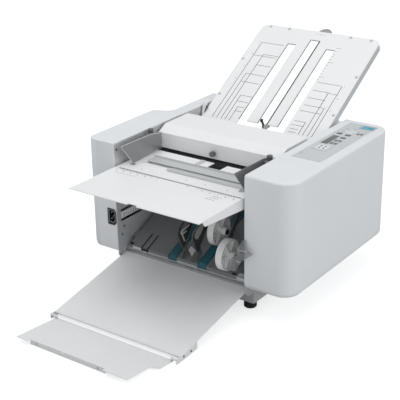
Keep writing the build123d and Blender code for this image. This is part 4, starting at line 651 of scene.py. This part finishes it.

# %% [markdown]
# ## The fold plate's groove
# Across the fold plate runs a groove, where the operator reads the fold length. A groove in
# the steel would hardly show, so a grey plate a quarter of a millimetre thick lies along it,
# and its grey is the groove's shade, painted.

# %% Paint the groove's shade across the fold plate
PLATE_TOP = 278.0
plate_plane = plane_at((0, 0, PLATE_TOP), (1, 0, 0), (0, 1, 0))
GROOVE_LINE = -221.5
draft = bmesh.new()
# grey plate along the groove: painted shade
plate(draft, plate_plane, rectangle(-160, 169, GROOVE_LINE - 2.3, GROOVE_LINE + 2.3), -SUNK, 0.25)
piece("fold_groove_shade", "chassis", "groove_shade_grey", draft)
print("the groove lies at y", GROOVE_LINE)

# %% [markdown]
# ## The fold plate's scale
# Ticks and numbers stand in front of the groove at both ends, with a few bars below
# them and dots behind. The ticks are equally far apart, so a loop steps along them on
# both sides, and every fourth one is longer.

# %% Print ticks, dots and bars
PLATE_TICKS, FIRST_PLATE_TICK, PLATE_TICK_STEP = 19, 62, 5
draft = bmesh.new()
for side in (-1, 1):
    for i in range(PLATE_TICKS):
        x = side * (FIRST_PLATE_TICK + PLATE_TICK_STEP * i)
        tick_end = GROOVE_LINE - (6.5 if i % 4 else 8.5)
        stroke(draft, plate_plane, (x, GROOVE_LINE - 4), (x, tick_end), TICK_INK)
for i in range(11):
    x, y = -152 + 5.5 * i, GROOVE_LINE - 24 - i % 3
    stroke(draft, plate_plane, (x, y), (x + 2.6, y), 1.0)
DOT = [(0, -SUNK), (1.3, -SUNK), (1.3, INK), (0, INK)]
for x in (-112, -56, 12, 62, 118):
    turned(draft, plate_plane, (x, GROOVE_LINE + 21), DOT, 12)
for x in (-45, 35):
    stroke(draft, plate_plane, (x, GROOVE_LINE - 5), (x, GROOVE_LINE - 11), 1.1)
for row in range(3):
    y = -262 + 9 * row
    stroke(draft, plate_plane, (104 + 4 * row, y), (128 + 3 * row, y), 1.0)
stroke(draft, plate_plane, (-138.6, -163.2), (-57.0, -163.2), 1.1)
piece("fold_scale_ticks", "chassis", "print_grey", draft)
print("ticks on each side:", PLATE_TICKS)

# %% Stand the wings' feet on the plate
draft = bmesh.new()
for left, right in ((-152.2, -141), (141, 152.2)):
    plate(draft, plate_plane, rounded(left, right, -194, -183, 3.0), -SUNK, 1.2)
piece("wing_feet", "chassis", "rivet_steel", draft)
print("wing feet: 2")

# %% Print the fold plate's numbers
labels = [(str(5 + i), (side * (77 + 20 * i), GROOVE_LINE - 13), 0) for i in range(5) for side in (-1, 1)]
numerals("fold_scale_numbers", "chassis", "print_grey", plate_plane, labels, 7.0)
print("numbers on the fold plate:", len(labels))

# %% [markdown]
# ## The cross rail and the fold stop
# The rail and the strip below it are plated steel, each held by a rivet or two, and a
# bright plate along each front edge is a painted highlight. The boxes of the CAD nodes say where the
# edges are. The strip slides, so its rivet and highlight ride on it, and the rail's stay with the body.

# %% Rivet the fold stop and paint a highlight on its edge
stop_low, stop_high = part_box("fold_stop")
SMALL_HEAD = [(0, 0), (2.6, 0), (2.4, 0.8), (1.3, 1.2), (0, 1.3)]
STOP_TOP = 280.1
draft = bmesh.new()
turned(draft, plane_at((0, 0, STOP_TOP), (1, 0, 0), (0, 1, 0)), (-42.6, -167.3), SMALL_HEAD, 16)
stop_plane = plane_at((0, stop_low.y / MM, 0), (1, 0, 0), (0, 0, 1))
stop_highlight = rectangle(stop_low.x / MM + 1, stop_high.x / MM - 1, STOP_TOP - 0.5, STOP_TOP - 0.05)
# bright plate along the strip's front edge: painted highlight
plate(draft, stop_plane, stop_highlight, 0, 0.3)
piece("fold_stop_rivet_and_highlight", "fold_stop", "strip_zinc", draft, smooth=True)
print("fold stop in millimetres:", [round(v / MM, 1) for v in (*stop_low, *stop_high)])

# %% Rivet the cross rail and paint a highlight on its edge
rail_low, rail_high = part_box("cross_rail")
RAIL_TOP = 283.5
draft = bmesh.new()
rail_plane = plane_at((0, 0, RAIL_TOP), (1, 0, 0), (0, 1, 0))
turned(draft, rail_plane, (76.7, -149.4), SMALL_HEAD, 16)
turned(draft, rail_plane, (-112.0, -149.4), SMALL_HEAD, 16)
front_edge = rail_low.y / MM
rail_highlight = rectangle(rail_low.x / MM + 1, rail_high.x / MM - 1, front_edge, front_edge + 1.6)
# bright plate along the rail's front edge: painted highlight
plate(draft, rail_plane, rail_highlight, -SUNK, 0.25)
piece("cross_rail_rivets_and_highlight", "chassis", "strip_zinc", draft, smooth=True)
print("rail in millimetres:", [round(v / MM, 1) for v in (*rail_low, *rail_high)])

# %% [markdown]
# ## The wings' edges
# The two wings are cut from plated sheet. Bright strokes along the top and the front corner,
# on a plane on the wing's side, are a painted highlight on the cut edges, and they show it
# better than a bevel of the thin sheet.

# %% Paint highlights on the wings' cut edges
WING_FACE = 151.5
top_edge = [(-223, 329.6), (-114, 327.6), (-77, 320.6)]
draft = bmesh.new()
for x, side in ((-WING_FACE, 1), (WING_FACE, -1)):
    wing_plane = plane_at((x, 0, 0), (0, side, 0), (0, 0, 1))
    for (y0, z0), (y1, z1) in zip(top_edge, top_edge[1:]):
        stroke(draft, wing_plane, (side * y0, z0), (side * y1, z1), 1.6, 0.25)
    stroke(draft, wing_plane, (side * -223, 329), (side * -184, 280), 1.3, 0.25)
# bright strokes on both wings: painted highlight along the edges
piece("wing_edge_highlights", "chassis", "strip_zinc", draft)
print("wing edges: 2")

# %% [markdown]
# ## The control panel
# The panel is a printed film: a frame round the small display, pale and dark marks
# between the keys, and a thin line round the start key. All of it is flat, so thin
# plates on one drawing plane do: rounded bars, dots and rings. Distances are counted
# from the machine's front.

# %% Frame the display
panel_low, panel_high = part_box("control_panel")
panel_plane = plane_at((0, 0, panel_high.z / MM), (1, 0, 0), (0, 1, 0))
BACK = -221
draft = bmesh.new()
outer = rounded(204.9, 223.7, 258.0 + BACK, 321.0 + BACK, 2.0)
inner = rounded(206.4, 222.2, 259.5 + BACK, 319.5 + BACK, 1.2)
framed(draft, panel_plane, outer, inner, -SUNK, 0.2)
piece("display_frame", "chassis", "print_light", draft)
print("panel's top in millimetres:", round(panel_high.z / MM, 2))

# %% Print the pale marks
pale_marks = ((222.5, 237, 349, 353), (224, 239, 357, 361), (226, 241, 366, 369), (214, 222, 356, 360))
draft = bmesh.new()
for x0, x1, y0, y1 in pale_marks:
    plate(draft, panel_plane, rounded(x0, x1, y0 + BACK, y1 + BACK, 1.2), -SUNK, INK)
piece("panel_white_marks", "chassis", "key_white", draft)
print("pale marks:", len(pale_marks))


# %% Print the dark marks
def on_panel(x, distance):
    """Place on the panel, with the distance counted from the machine's front."""
    return (x, distance + BACK)


draft = bmesh.new()
start_outer = rounded(232.5, 268.0, 389.5 + BACK, 415.5 + BACK, 3.5)
start_inner = rounded(233.5, 267.0, 390.5 + BACK, 414.5 + BACK, 2.6)
framed(draft, panel_plane, start_outer, start_inner, -SUNK, INK)
for x, y in ((213, 350), (213, 357), (226, 381), (232, 381)):
    turned(draft, panel_plane, on_panel(x, y), [(0, -SUNK), (1.2, -SUNK), (1.2, INK), (0, INK)], 16)
panel_bars = (((204, 172), (204, 186)), ((256, 372), (264, 372)), ((230, 372), (238, 372)),
              ((244, 366), (252, 366)), ((208, 377), (216, 377)))
for start, end in panel_bars:
    stroke(draft, panel_plane, on_panel(*start), on_panel(*end), 0.8)
piece("panel_marks", "chassis", "print_grey", draft)
print("dark bars:", len(panel_bars))

# %% [markdown]
# ## The keys
# Each key is a CAD piece with a press of its own, so its mark must ride on it. The
# plane on a key's top comes from the key's box, with zero in its middle, and the same
# few strokes then fit every key. The pad for the arrows has a small white field.


# %% Find a key's top
def key_plane(name):
    """Plane on a key's top, with its middle at zero."""
    low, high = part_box(name)
    middle = (low + high) / 2 / MM
    return plane_at((middle.x, middle.y, high.z / MM), (1, 0, 0), (0, 1, 0))


KEY_INK = 0.15
print("ink on keys stands", KEY_INK, "mm proud")

# %% Mark the arrow pad
ARROW_REACH, FIELD_RISE, FIELD_HALF = 7.6, 0.15, 12.5
arrow = [(-3.8, -2.2), (3.8, -2.2), (0, 4.2)]
draft = bmesh.new()
pad = key_plane("arrow_pad")
for quarter in range(4):
    angle = math.pi / 2 * (quarter + 0.5)
    shifted = [(u, w + ARROW_REACH) for u, w in arrow]
    spun = [(u * math.cos(angle) - w * math.sin(angle), u * math.sin(angle) + w * math.cos(angle))
            for u, w in shifted]
    plate(draft, pad, spun, -SUNK, KEY_INK + FIELD_RISE)
piece("arrow_marks", "arrow_pad", "print_dark", draft)
draft = bmesh.new()
plate(draft, pad, rounded(-FIELD_HALF, FIELD_HALF, -FIELD_HALF, FIELD_HALF, 4.0), -SUNK, FIELD_RISE)
piece("arrow_field", "arrow_pad", "key_white", draft)
print("arrows: 4")

# %% Cap the step pad and mark the start key
draft = bmesh.new()
pad = key_plane("step_pad")
for u in (-4.6, 4.6):
    for w in (-10.5, 10.5):
        plate(draft, pad, rounded(u - 3.4, u + 3.4, w - 4.2, w + 4.2, 0.9), -SUNK, 0.25)
piece("step_key_caps", "step_pad", "key_dark", draft)

draft = bmesh.new()
pad = key_plane("start_key")
plate(draft, pad, [(3.0, -4.5), (9.0, 0), (3.0, 4.5)], -SUNK, KEY_INK)
stroke(draft, pad, (11.0, -5.5), (11.0, 5.5), 1.4, KEY_INK)
piece("start_mark", "start_key", "key_deep_blue", draft)
print("step caps: 4, start mark: 1")

# %% Mark the small keys
for name in ("stop_key", "clear_key"):
    draft = bmesh.new()
    stroke(draft, key_plane(name), (-1.4, 0), (1.4, 0), 1.2, KEY_INK)
    piece(name + "_mark", name, "print_light", draft)
for i in range(1, 4):
    name = "function_key_%d" % i
    draft = bmesh.new()
    pad = key_plane(name)
    for step in range(i):
        w = (step - (i - 1) / 2) * 2.4
        stroke(draft, pad, (-2.6, w), (2.6, w), 0.9, KEY_INK)
    piece(name + "_mark", name, "print_light", draft)
print("small keys marked: 5")

# %% [markdown]
# ## The delivery bay
# Low in the front the camera looks into the bay. A bent strip of plated steel closes
# the edge between the dark deck and the tray, and small plates lie on the deck. Each
# is tiny, but without them the bay looks empty. Two planes at the deck's front edge,
# one up the slope and one upright, take all of it.

# %% Lay the plated strip along the deck's front edge
DECK_SLOPE = math.radians(23.7)
deck_front = Vector((0, 31.2 + BACK, 76.3))
deck_plane = plane_at(deck_front, (1, 0, 0), (0, math.cos(DECK_SLOPE), math.sin(DECK_SLOPE)))
front_plane = plane_at(deck_front - Vector((0, 1.3, 0)), (1, 0, 0), (0, 0, 1))
DECK_HALF = 165
strip_faces = ((-DECK_HALF, DECK_HALF, -10.6, -8.6, 0.9), (-155, -131.5, -9.5, -2.0, 0.9),
               (-109.5, -54, -7.6, -6.2, 0.7), (-27.5, 27.5, -7.6, -5.6, 0.7),
               (136, DECK_HALF, -7.8, -1.0, 0.9))
draft = bmesh.new()
for left, right, low, high, thickness in strip_faces:
    plate(draft, front_plane, rectangle(left, right, low, high), 0, thickness)
plate(draft, deck_plane, rectangle(138, DECK_HALF, -0.6, 9), 0.05, 0.9)
plate(draft, front_plane, rectangle(-122, -117, -11.8, -8), 0.9, 1.4)
piece("deck_strip", "chassis", "strip_zinc", draft)
print("faces of the strip:", len(strip_faces) + 2)

# %% Paint shade into the deck's slits and corners
SLIT_HALF = 1.9
draft = bmesh.new()
# black plates in the two slits, between them and in the corners: painted shade
for x in (-129, -112):
    plate(draft, deck_plane, rectangle(x - SLIT_HALF, x + SLIT_HALF, -1.4, 45), 0.02, 0.35)
    plate(draft, front_plane, rectangle(x - SLIT_HALF, x + SLIT_HALF, -8.5, 0.3), 0.0, 0.3)
plate(draft, front_plane, rectangle(-127.0, -114.0, -7.0, -2.0), 0.0, 1.2)
plate(draft, deck_plane, rectangle(122.0, 132.0, -0.9, 5.0), 0.02, 1.0)
plate(draft, deck_plane, rectangle(-DECK_HALF, -156.5, -0.9, 6.0), 0.02, 1.0)
piece("deck_slit_and_corner_shade", "chassis", "black_plastic", draft)
print("slits: 2")

# %% Lay small plates on the deck
deck_places = ((-28, -8, 1, 26), (8, 27, 1, 20), (60, 82, 2, 42), (88, 104, 2, 30), (110, 128, 8, 40),
               (136, 158, 14, 60))
draft = bmesh.new()
for left, right, low, high in deck_places:
    plate(draft, deck_plane, rectangle(left, right, low, high), 0.02, 0.5)
piece("deck_plates", "chassis", "deck_plate_grey", draft)
draft = bmesh.new()
plate(draft, deck_plane, [(-15.4, 42), (-14.3, 29), (3.2, 16), (2.9, 34)], 0.02, 0.9)
piece("deck_bright_tab", "chassis", "leaf_glint", draft)
print("plates on the deck:", len(deck_places) + 1)

# %% [markdown]
# ## The bay's side walls
# The bay's left wall is a steel frame with two long slots and a bright plate with a
# stamped scale between them. Both walls also carry the tray's hinge and a screw near
# the top. Each wall gets a drawing plane that looks into the bay.

# %% Fit the plate between the left frame's slots
WALL = 175.5
left_wall = plane_at((-WALL, 0, 0), (0, 1, 0), (0, 0, 1))
right_wall = plane_at((WALL, 0, 0), (0, -1, 0), (0, 0, 1))
draft = bmesh.new()
slot_plate = [(y + BACK, z) for y, z in ((17, 143.6), (77, 143.6), (77, 150), (68, 158.6), (17, 158.6))]
plate(draft, left_wall, slot_plate, 0.0, 0.5)
piece("slot_plate", "chassis", "sheet_white", draft)
draft = bmesh.new()
plate_face = plane_at((0.5 - WALL, 0, 0), (0, 1, 0), (0, 0, 1))
for i in range(6):
    y = 25 + 8.5 * i + BACK
    stroke(draft, plate_face, (y, 146.5), (y + 2.5, 154 - i % 3), 1.5)
piece("slot_plate_marks", "chassis", "print_grey", draft)
print("slot plate corners:", len(slot_plate))

# %% Cap the tray's hinge
HINGE_Y, HINGE_Z = 29 + BACK, 59
BOSS = [(0, 0), (7.6, 0), (7.6, 1.2), (6.6, 1.8), (4.6, 1.8), (4.2, 3.2), (0, 3.4)]
HINGE_RING = [(3.0, 3.3), (5.4, 2.9), (5.4, 3.6), (3.0, 3.7), (3.0, 3.3)]
hinge_ends = ((left_wall, HINGE_Y), (right_wall, -HINGE_Y))
draft = bmesh.new()
for wall, y in hinge_ends:
    turned(draft, wall, (y, HINGE_Z), BOSS)
piece("hinge_washers", "chassis", "strip_zinc", draft, smooth=True)
draft = bmesh.new()
for wall, y in hinge_ends:
    turned(draft, wall, (y, HINGE_Z), HINGE_RING)
piece("hinge_rings", "chassis", "screw_dark", draft)
print("hinge ends capped:", len(hinge_ends))

# %% Screw the covers' lips
SCREW = [(0, 0), (2.6, 0), (2.6, 0.9), (1.9, 1.4), (0, 1.4)]
LIP_Y, LIP_Z = 10.3 + BACK, 314
draft = bmesh.new()
turned(draft, left_wall, (LIP_Y, LIP_Z), SCREW, 16)
turned(draft, right_wall, (-LIP_Y, LIP_Z), SCREW, 16)
piece("cover_lip_screws", "chassis", "screw_dark", draft, smooth=True)
print("lip screws: 2")

# %% [markdown]
# ## The stacker wheels' clips
# A black clip with a bevelled face ends each hub and keeps the wheel on its axle. It
# turns with the wheel, so it rides on the wheel's body. Its profile goes through the
# lathe, and the hub's end is found from the wheel's box.

# %% Clip the hubs
CLIP = [(0, 0), (6.4, 0), (6.4, 1.6), (5.0, 2.4), (0, 2.6)]
for name, body in (("stacker_wheel_inner", "inner_wheel"), ("stacker_wheel_outer", "outer_wheel")):
    low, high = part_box(name)
    middle = (low + high) / 2 / MM
    hub_end = plane_at((high.x / MM, middle.y, middle.z), (0, 1, 0), (0, 0, 1))
    draft = bmesh.new()
    turned(draft, hub_end, (0, 0), CLIP)
    piece(name + "_clip", body, "black_plastic", draft, smooth=True)
    print(name, "hub ends at x", round(high.x / MM, 1))

# %% [markdown]
# ## The polished leaves
# Two dark polished plates guide the folded sheets. Each has a hooked window and a foot over
# the deck, and a painted highlight runs along its cut edge and round its window. The outline is known as
# shares of the leaf's box, so the same list places the highlight here, a little to the inside of the real
# edge.

# %% Paint highlights along the leaves' edges
LEAF_FRONT, LEAF_DEPTH, LEAF_LOW, LEAF_HEIGHT = 19.0, 127.0, 80.0, 166.0
leaf_shares = [(0.780, 1.000), (0.205, 0.530), (0.039, 0.458), (0.000, 0.367), (0.087, 0.199),
               (0.173, 0.084), (0.110, 0.000), (0.197, 0.027), (0.291, 0.072), (0.244, 0.193),
               (0.307, 0.229), (0.417, 0.343), (1.000, 0.843), (1.000, 0.952)]
window_shares = [(0.700, 0.830), (0.340, 0.540), (0.130, 0.430), (0.090, 0.370), (0.130, 0.330),
                 (0.190, 0.370), (0.400, 0.490), (0.740, 0.770)]


def leaf_points(shares):
    """Corners of a leaf's outline or window, from shares of its depth and height."""
    return [(BACK + LEAF_FRONT + u * LEAF_DEPTH, LEAF_LOW + w * LEAF_HEIGHT) for u, w in shares]


def outline_strokes(draft, plane, points, width, high, inward):
    """Strokes along a closed outline, set a little to its inside."""
    middle = sum((Vector(p) for p in points), Vector((0, 0))) / len(points)
    drawn = [Vector(p) + (middle - Vector(p)).normalized() * inward for p in points]
    for a, b in zip(drawn, drawn[1:] + drawn[:1]):
        stroke(draft, plane, a, b, width, high)


LEAF_LEFT, LEAF_RIGHT, LEAF_SHEET = -17.4, 22.6, 1.6
draft = bmesh.new()
for x in (LEAF_LEFT, LEAF_RIGHT):
    side = plane_at((x + LEAF_SHEET, 0, 0), (0, 1, 0), (0, 0, 1))
    outline_strokes(draft, side, leaf_points(leaf_shares), 1.1, 0.2, 0.9)
    outline_strokes(draft, side, leaf_points(window_shares), 1.1, 0.2, -1.0)
# pale strokes round each leaf and its window: painted highlight
piece("leaf_edge_highlights", "inner_arm", "leaf_painted_highlight", draft)
print("leaves edged: 2")

# %% Paint a highlight in the shape of a hook on the left leaf
hook_highlight_lines = (((-188.5, 143.5), (-157, 149.0)), ((-184.5, 136), (-168, 138)),
              ((-188.5, 143.5), (-184.5, 134)), ((-184.5, 135), (-176, 116)))
draft = bmesh.new()
side = plane_at((LEAF_LEFT + LEAF_SHEET, 0, 0), (0, 1, 0), (0, 0, 1))
for start, end in hook_highlight_lines:
    stroke(draft, side, start, end, 3.4, 0.7)
# pale hook-shaped strokes: painted highlight on the left leaf
piece("leaf_hook_highlight", "inner_arm", "leaf_glint", draft)
print("strokes of the hook:", len(hook_highlight_lines))

# %% Bend the leaves' feet and paint a shine on the right one
foot_outline = [(y + BACK, z) for y, z in ((33.5, 80.3), (45.5, 85.0), (56.5, 92.5), (50.0, 106.0),
                                           (40.5, 97.5))]
draft = bmesh.new()
for x in (LEAF_LEFT, LEAF_RIGHT):
    foot = plane_at((x, 0, 0), (0, 1, 0), (0, 0, 1))
    for low, high in ((-0.5, 0.02), (1.58, 2.1)):
        plate(draft, foot, foot_outline, low, high)
piece("leaf_feet", "inner_arm", "deck_plate_grey", draft)
draft = bmesh.new()
shine = [(-191, 143), (-185, 155), (-160, 168), (-146, 173), (-150, 160), (-168, 141), (-181, 132)]
# pale plate on the right leaf: a painted shine
plate(draft, plane_at((LEAF_RIGHT + LEAF_SHEET, 0, 0), (0, 1, 0), (0, 0, 1)), shine, -0.1, 0.12)
piece("leaf_painted_shine", "inner_arm", "leaf_painted_highlight", draft)
print("leaf feet: 2")

# %% [markdown]
# ## The clear guide
# A bent strip of clear plastic stands beside the outer wheel. Bent acrylic shows
# mostly by its bends, which gather light, so two pale strokes along them paint that highlight. They
# are closed plates like all the others and swing with the arm.

# %% Paint highlights on the clear guide's bends
GUIDE_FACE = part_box("clear_guide")[0].y / MM
guide_plane = plane_at((0, GUIDE_FACE, 0), (1, 0, 0), (0, 0, 1))
GUIDE_LEFT, GUIDE_WIDTH, GUIDE_LOW, GUIDE_HEIGHT = 130.0, 74.0, 104.0, 85.0
draft = bmesh.new()
for left, right, height in ((0.40, 0.56, 0.365), (0.47, 0.80, 0.70)):
    z = GUIDE_LOW + height * GUIDE_HEIGHT
    stroke(draft, guide_plane, (GUIDE_LEFT + left * GUIDE_WIDTH, z),
           (GUIDE_LEFT + right * GUIDE_WIDTH, z), 1.3, 0.2)
# pale strokes on the bends: painted highlight
piece("guide_bend_highlights", "outer_arm", "clear_bend_highlight", draft)
print("guide face at y", round(GUIDE_FACE, 1))

# %% [markdown]
# ## The mains inlet
# The inlet on the left cover has a black frame with two cut corners, a grey ring and
# three contact pins. The CAD node is the socket itself. The frame and the ring are
# made from its box, with the same cut corners, so that they always fit round it.

# %% Frame the inlet
inlet_low, inlet_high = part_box("power_inlet")
print("inlet box in millimetres:", [round(v / MM, 1) for v in (*inlet_low, *inlet_high)])


def cut_corners(left, right, low, high, chamfer):
    """Rectangle whose right-hand corners are cut, in front view."""
    return [(left, low), (right - chamfer, low), (right, low + chamfer), (right, high - chamfer),
            (right - chamfer, high), (left, high)]


inlet_plane = plane_at((0, BACK, 0), (1, 0, 0), (0, 0, 1))
x0, z0 = inlet_low.x / MM, inlet_low.z / MM
x1, z1 = inlet_high.x / MM, inlet_high.z / MM
draft = bmesh.new()
framed(draft, inlet_plane, cut_corners(x0 - 0.8, x1 + 2.2, z0 - 4.5, z1 + 1.8, 6.5),
       cut_corners(x0 + 0.2, x1 - 0.2, z0 + 0.2, z1 - 0.2, 6.0), -0.2, 1.0)
piece("inlet_frame", "chassis", "black_plastic", draft)
print("inlet framed")

# %% Ring the inlet and set its pins
draft = bmesh.new()
face = inlet_low.y / MM
ring_plane = plane_at((0, face, 0), (1, 0, 0), (0, 0, 1))
framed(draft, ring_plane, cut_corners(x0 + 1.4, x1 - 1.4, z0 + 1.4, z1 - 1.4, 5.4),
       cut_corners(x0 + 2.3, x1 - 2.3, z0 + 2.3, z1 - 2.3, 5.0), -0.3, 0.4)
PIN_HALF, PIN_TALL, PIN_ROOT, PIN_TIP = 0.7, 1.6, -7.0, -1.5
pins = ((x0 + 7.5, z0 + 9), (x0 + 13.5, (z0 + z1) / 2), (x0 + 7.5, z1 - 9))
for x, z in pins:
    pin = rectangle(x - PIN_HALF, x + PIN_HALF, z - PIN_TALL, z + PIN_TALL)
    plate(draft, ring_plane, pin, PIN_ROOT, PIN_TIP)
piece("inlet_ring_and_pins", "chassis", "rivet_steel", draft)
print("contact pins:", len(pins))

# %% [markdown]
# ## Tray and extension
# The tray's side walls and the extension's flange are held by small rivets, and the
# tray's rolled hinge is darker in front, where it faces away from the light. The
# roll is a cylinder, so a thin skin over a part of its round does that. Everything
# here rides on the tray or on the extension and folds with them.

# %% Rivet the tray
TRAY_HALF = 171.5
tray_wall = plane_at((TRAY_HALF, 0, 0), (0, 1, 0), (0, 0, 1))
left_tray_wall = plane_at((-TRAY_HALF, 0, 0), (0, -1, 0), (0, 0, 1))
HEAD = [(0, 0), (2.4, 0), (2.2, 0.7), (1.2, 1.1), (0, 1.2)]
draft = bmesh.new()
for y in (-437, -412):
    turned(draft, tray_wall, (y, 8.6), HEAD, 16)
    turned(draft, left_tray_wall, (-y, 8.6), HEAD, 16)
piece("tray_rivets", "delivery_tray", "screw_dark", draft, smooth=True)
print("tray rivets: 4")

# %% Shade the tray's roll
ROLL_RADIUS, ROLL_SKIN, ROLL_HALF = 4.5, 0.25, 171.0
draft = bmesh.new()
arc = [math.radians(105 + 16 * i) for i in range(6)]
roll_skin = [(HINGE_Y + r * math.cos(a), HINGE_Z + r * math.sin(a))
             for r, way in ((ROLL_RADIUS - SUNK, 1), (ROLL_RADIUS + ROLL_SKIN, -1)) for a in arc[::way]]
plate(draft, plane_at((0, 0, 0), (0, 1, 0), (0, 0, 1)), roll_skin, -ROLL_HALF, ROLL_HALF)
piece("tray_roll_shade", "delivery_tray", "gear_steel", draft)
print("corners of the roll's skin:", len(roll_skin))

# %% Rivet the extension
flange_low, flange_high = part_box("tray_extension")
flange_y = flange_low.y / MM + 8.0
flange_plane = plane_at((0, flange_y, 0), (1, 0, 0), (0, 0, 1))
draft = bmesh.new()
for x in (-112, 55):
    turned(draft, flange_plane, (x, 7.0), HEAD, 16)
piece("extension_rivets", "tray_extension", "rivet_steel", draft, smooth=True)
print("extension box in millimetres:", [round(v / MM, 1) for v in (*flange_low, *flange_high)])

# %% [markdown]
# ## Measure and finish
# The last cell counts the added pieces and measures the dressed machine's box. Trim that sticks
# out would make the part larger than it is.

# %% Finish
print("pieces added:", len(made_pieces))
low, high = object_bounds()
